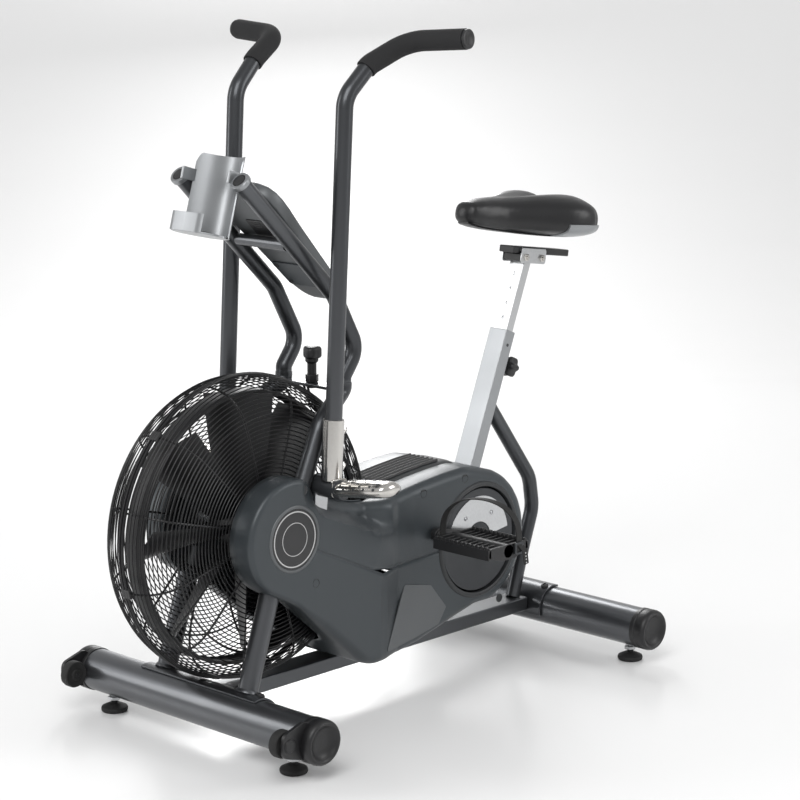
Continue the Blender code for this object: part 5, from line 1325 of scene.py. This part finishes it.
def shroud_outline():
    """The shroud's edge as seen from the side, going round from the front."""
    points = arc((FAN_X, FAN_Z), 0.110, 180, 50, 10)
    points += [(-0.196, 0.4510), (-0.150, 0.4320), (-0.100, 0.4170), (-0.060, 0.4110), (-0.032, 0.4100),
               (-0.016, 0.4108), (-0.006, 0.4118), (0.004, 0.4130), (0.040, 0.4172), (0.100, 0.4248),
               (0.160, 0.4308), (0.215, 0.4335)]
    points += arc((CRANK_X + 0.002, CRANK_Z), 0.142, 82, -72, 11, tall=0.141)
    points += [(0.245, 0.1470), (0.190, 0.1340), (0.130, 0.1180), (0.070, 0.1030), (0.020, 0.0970),
               (-0.035, 0.0965), (-0.075, 0.0990), (-0.105, 0.1090), (-0.1180, 0.1198), (-0.1270, 0.1280),
               (-0.1370, 0.1368), (-0.160, 0.1565), (-0.200, 0.1900), (-0.240, 0.2235), (-0.282, 0.2600)]
    return points + arc((FAN_X, FAN_Z), 0.110, 250, 194, 4)


def shroud_width(x, z):
    """Half the width of the housing over a point of its side."""
    wide = float(np.interp(x, (-0.41, -0.24, -0.06, -0.035, 0.010, 0.06, 0.40),
                           (0.146, 0.146, 0.137, 0.131, 0.115, 0.1115, 0.1115)))
    fold = float(np.interp(x, (-0.240, -0.222, -0.038), (0.440, 0.420, 0.347)))
    fade = float(np.interp(x, (-0.270, -0.205, -0.075, -0.015), (0, 1, 1, 0)))
    wide -= fade * min(0.036, max(0.0, z - fold) * 1.5)
    return max(wide, 0.060)


def spine_point(x, z):
    """The nearest point of the line that runs through the middle of the housing's side."""
    best = None
    for (ax, az), (bx, bz) in zip(SHROUD_SPINE, SHROUD_SPINE[1:]):
        dx, dz = bx - ax, bz - az
        t = min(1.0, max(0.0, ((x - ax) * dx + (z - az) * dz) / (dx * dx + dz * dz)))
        px, pz = ax + t * dx, az + t * dz
        distance = math.hypot(x - px, z - pz)
        if best is None or distance < best[0]:
            best = (distance, px, pz)
    return best[1], best[2]


def evened(points, count):
    """The closed outline again, as evenly spaced points on a smooth line through it."""
    ring = np.array(points + points[:1])
    run = np.concatenate([[0], np.cumsum(np.linalg.norm(np.diff(ring, axis=0), axis=1))])
    spots = np.linspace(0, run[-1], count, endpoint=False)
    line = np.stack([np.interp(spots, run, ring[:, k]) for k in (0, 1)], axis=1)
    for _ in range(3):
        line = 0.25 * np.roll(line, 1, axis=0) + 0.5 * line + 0.25 * np.roll(line, -1, axis=0)
    return [tuple(p) for p in line]


OUTLINE = evened(shroud_outline(), 360)


def housing_half(side):
    """One half of the housing: a rim beside the cage, a rounded shoulder and a face with a round hole."""
    verts, faces = [], []
    shoulder = [(0.0, 0.0), (0.0, 0.35), (0.0, 0.7)]
    shoulder += [(1 - math.cos(math.radians(9 * k)), None) for k in range(1, 11)]
    inward = [0.90 - 0.06 * k for k in range(16)]
    rows = []
    for x, z in OUTLINE:
        cx, cz = spine_point(x, z)
        length = math.hypot(x - cx, z - cz)
        radius = math.hypot(x - FAN_X, z - FAN_Z)
        rim = guard_depth(radius) + 0.0070 if radius < GUARD_R else GAP / 2
        nose = min(1.0, max(0.0, (-0.215 - x) / 0.05))
        corner = 0.020 - 0.010 * nose
        column = []
        full_edge = max(shroud_width(x, z), rim + 0.016)
        for part, share in shoulder:
            if share is not None:
                column.append((x, rim + (full_edge - corner - rim) * share, z))
                continue
            scale = 1 - corner * part / length
            px, pz = cx + (x - cx) * scale, cz + (z - cz) * scale
            full = max(shroud_width(px, pz), rim + 0.016)
            column.append((px, full - corner + corner * math.sqrt(max(0.0, 1 - (1 - part) ** 2)), pz))
        last = 1 - corner / length
        for share in inward:
            scale = last * share / 0.96
            px, pz = cx + (x - cx) * scale, cz + (z - cz) * scale
            column.append((px, max(shroud_width(px, pz), min(rim + 0.016, 0.11)), pz))
        rows.append(column)
    columns, depth = len(rows), len(rows[0])
    for column in rows:
        for x, y, z in column:
            away = math.hypot(x - CRANK_X, z - CRANK_Z)
            if 0.104 < away < 0.118:
                x, z = CRANK_X + (x - CRANK_X) * 0.111 / away, CRANK_Z + (z - CRANK_Z) * 0.111 / away
            verts.append((x, side * y, z))
    for i in range(columns):
        k = (i + 1) % columns
        for j in range(depth - 1):
            cell = (i * depth + j, i * depth + j + 1, k * depth + j + 1, k * depth + j)
            middle = [sum(verts[c][a] for c in cell) / 4 for a in (0, 1, 2)]
            if math.hypot(middle[0] - CRANK_X, middle[2] - CRANK_Z) < 0.110:
                continue
            faces.append(cell)
    return verts, faces


for side in (LEFT, RIGHT):
    label = NAME_OF[side]
    half = piece(f"{label}_housing", housing_half(side), "base", SHELL,
                 [f"{label}_shroud"], angle=40)
    wall = half.modifiers.new("Wall", "SOLIDIFY")
    wall.thickness = 0.0025
    wall.offset = -1
    rim = lathe([(0.1075, 0.1050), (0.1075, 0.1138), (0.1090, 0.1150), (0.1135, 0.1150), (0.1160, 0.1135),
                 (0.1180, 0.1110),
                 (0.1180, 0.1050)], (CRANK_X, 0, CRANK_Z), (0, side, 0), 96)
    piece(f"{label}_opening_rim", rim, "base", SHELL_DARK, angle=50)
print("housing halves made")

# %% Badge, screw wells and lower panel
FACE_Y = 0.1460


def on_shell(x, z, proud):
    return shroud_width(x, z) + proud


for side in (LEFT, RIGHT):
    label = NAME_OF[side]
    way = (0, side, 0)
    centre = (FAN_X, 0, FAN_Z)
    ring = lathe([(0.0560, FACE_Y - 0.001), (0.0570, FACE_Y + 0.0016), (0.0600, FACE_Y + 0.0020),
                  (0.0625, FACE_Y + 0.0008),
                  (0.0632, FACE_Y - 0.001)], centre, way, 96)
    piece(f"{label}_badge_ring", ring, "base", PANEL_GREY, angle=60)
    plain = lathe([(0, FACE_Y + 0.0006), (0.0562, FACE_Y + 0.0006), (0.0562, FACE_Y - 0.0008),
                   (0, FACE_Y - 0.0008)], centre, way, 96)
    piece(f"{label}_badge_disc", plain, "base", BLACK)
    trims = [lathe([(0.0500, FACE_Y + 0.0004), (0.0500, FACE_Y + 0.0011), (0.0522, FACE_Y + 0.0011),
                    (0.0522, FACE_Y + 0.0004)],
                   centre, way, 96),
             lathe([(0.0300, FACE_Y + 0.0004), (0.0300, FACE_Y + 0.0011), (0.0312, FACE_Y + 0.0011),
                    (0.0312, FACE_Y + 0.0004)],
                   centre, way, 96)]
    piece(f"{label}_badge_lines", joined(*trims), "base", LABEL)
    wells = []
    for x, z in ((-0.268, 0.4770), (-0.240, 0.2970), (0.086, 0.4030), (-0.020, 0.1330), (0.205, 0.4130),
                 (0.310, 0.1480)):
        wells.append(lathe([(0, -0.0005), (0.0070, -0.0005), (0.0078, 0.0004), (0.0086, 0.0003),
                            (0.0086, -0.0010), (0, -0.0010)],
                           (x, side * on_shell(x, z, 0.0), z), way, 32))
    piece(f"{label}_screw_wells", joined(*wells), "base", SHELL_DARK)
    panel = [(0.030, 0.2330), (0.105, 0.2170), (0.150, 0.1640), (0.128, 0.1330), (0.060, 0.1190),
             (-0.040, 0.1160)]
    panel = rounded(panel, 0.006, 5)
    skin = [[(x, side * on_shell(x, z, d), z) for x, z in panel] for d in (-0.002, 0.0011)]
    piece(f"{label}_lower_panel", slab(*skin), "base", PANEL_GREY, bevel=0.0004)
    print(label, "trim made")

# %% Vent cap with its long fins
top = [(x, z) for x, z in OUTLINE if 0.012 < x < 0.24 and z > 0.40]
top.sort()
rows = []
for x, z in top:
    row = []
    for i in range(17):
        y = -0.050 + 0.100 * i / 16
        row.append((x, y, z + 0.0052 * (1 - abs(y / 0.050) ** 6)))
    row += [(x, 0.050, z - 0.003), (x, -0.050, z - 0.003)]
    rows.append(row)
piece("vent_lid", loft(rows), "base", SHELL_DARK, ["vent_cap"], angle=50)
FIN_LOW, FIN_TOP, FIN_HALF, FIN_PITCH = 0.0050, 0.0092, 0.0032, 0.012
line = [(x, z) for x, z in top if 0.034 < x < 0.205]
fins = []
for i in range(7):
    y = FIN_PITCH * (i - 3)
    fins.append(loft([[(x, y - FIN_HALF, z + FIN_LOW), (x, y + 0.2 * FIN_HALF, z + FIN_LOW),
                       (x, y + 0.2 * FIN_HALF, z + FIN_TOP), (x, y - 0.2 * FIN_HALF, z + FIN_TOP)]
                      for x, z in line]))
piece("vent_fins", joined(*fins), "base", BLACK, bevel=0.0004)
print("vent lid and fins made")

# %% [markdown]
# ## What stays as the frame made it
# The belt, both pulleys' shafts and the drive rods are hidden inside the housing, and their CAD shapes are
# already right, so they only take a finish.

# %% Finish the hidden drive pieces
KEPT = {"drive_belt": RUBBER, "crank_pulley": BLACK, "crank_axle": STEEL, "fan_axle": STEEL,
        "left_drive_rod": STEEL,
        "right_drive_rod": STEEL}
for name, look in KEPT.items():
    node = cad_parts[name]
    node.data.materials.clear()
    node.data.materials.append(look)
shown = [n for n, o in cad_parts.items() if not o.hide_render]
print("CAD pieces still shown:", sorted(shown))

# %% [markdown]
# ## Studio
# A pale sweep of floor, a large soft light above the camera's left, a second from the right and a strip
# behind that draws bright lines along the tubes.

# %% Floor and lights
mesh = bpy.data.meshes.new("floor")
curve = [(-6, 0), (3.2, 0)] + [(3.2 + 1.5 * math.sin(math.radians(a)), 1.5 - 1.5 * math.cos(math.radians(a)))
                              for a in range(10, 91, 10)] + [(4.7, 6)]
turn = math.radians(45)
verts = []
for u, z in curve:
    for v in (-9, 9):
        verts.append((u * math.cos(turn) - v * math.sin(turn), u * math.sin(turn) + v * math.cos(turn), z))
mesh.from_pydata(verts, [], [(2 * i, 2 * i + 2, 2 * i + 3, 2 * i + 1) for i in range(len(curve) - 1)])
mesh.shade_smooth()
floor = bpy.data.objects.new("floor", mesh)
bpy.context.scene.collection.objects.link(floor)
PALE = bpy.data.materials.new("pale_floor")
PALE.use_nodes = True
shader = PALE.node_tree.nodes["Principled BSDF"]
shader.inputs["Base Color"].default_value = (0.93, 0.93, 0.93, 1)
shader.inputs["Roughness"].default_value = 0.22
shader.inputs["Specular IOR Level"].default_value = 0.35
mesh.materials.append(PALE)
AIM = Vector((0.05, 0, 0.6))


def soft_light(name, spot, size, power):
    """A rectangular lamp turned towards the middle of the bike."""
    lamp = bpy.data.lights.new(name, "AREA")
    lamp.shape = "RECTANGLE"
    lamp.size, lamp.size_y = size
    lamp.energy = power
    obj = bpy.data.objects.new(name, lamp)
    obj.location = spot
    obj.rotation_euler = (AIM - Vector(spot)).to_track_quat("-Z", "Y").to_euler()
    bpy.context.scene.collection.objects.link(obj)


soft_light("key", (-2.6, -1.8, 3.4), (2.4, 2.4), 85)
soft_light("right_fill", (2.4, -3.4, 2.2), (1.6, 2.4), 45)
soft_light("rear_strip", (2.6, 2.8, 2.6), (0.8, 2.6), 60)
soft_light("left_strip", (-2.6, 2.6, 1.8), (0.6, 2.4), 30)
world = bpy.data.worlds.new("studio")
world.use_nodes = True
world.node_tree.nodes["Background"].inputs["Color"].default_value = (1, 1, 1, 1)
world.node_tree.nodes["Background"].inputs["Strength"].default_value = 0.55
bpy.context.scene.world = world

# %% Camera
lens = bpy.data.cameras.new("camera")
lens.lens, lens.sensor_width = 107.49, 36.0
lens.clip_end = 60
camera = bpy.data.objects.new("camera", lens)
bpy.context.scene.collection.objects.link(camera)
spot, target = Vector((-3.1985 - MIDDLE_X, -3.1751, 1.4851)), Vector((0.136 - MIDDLE_X, 0, 0.5654))
camera.matrix_world = Matrix.Translation(spot) @ (target - spot).to_track_quat("-Z", "Y").to_matrix().to_4x4()
bpy.context.scene.camera = camera
bpy.context.scene.view_settings.view_transform = "Standard"
print("camera", round((target - spot).length, 3), "m from the bike")
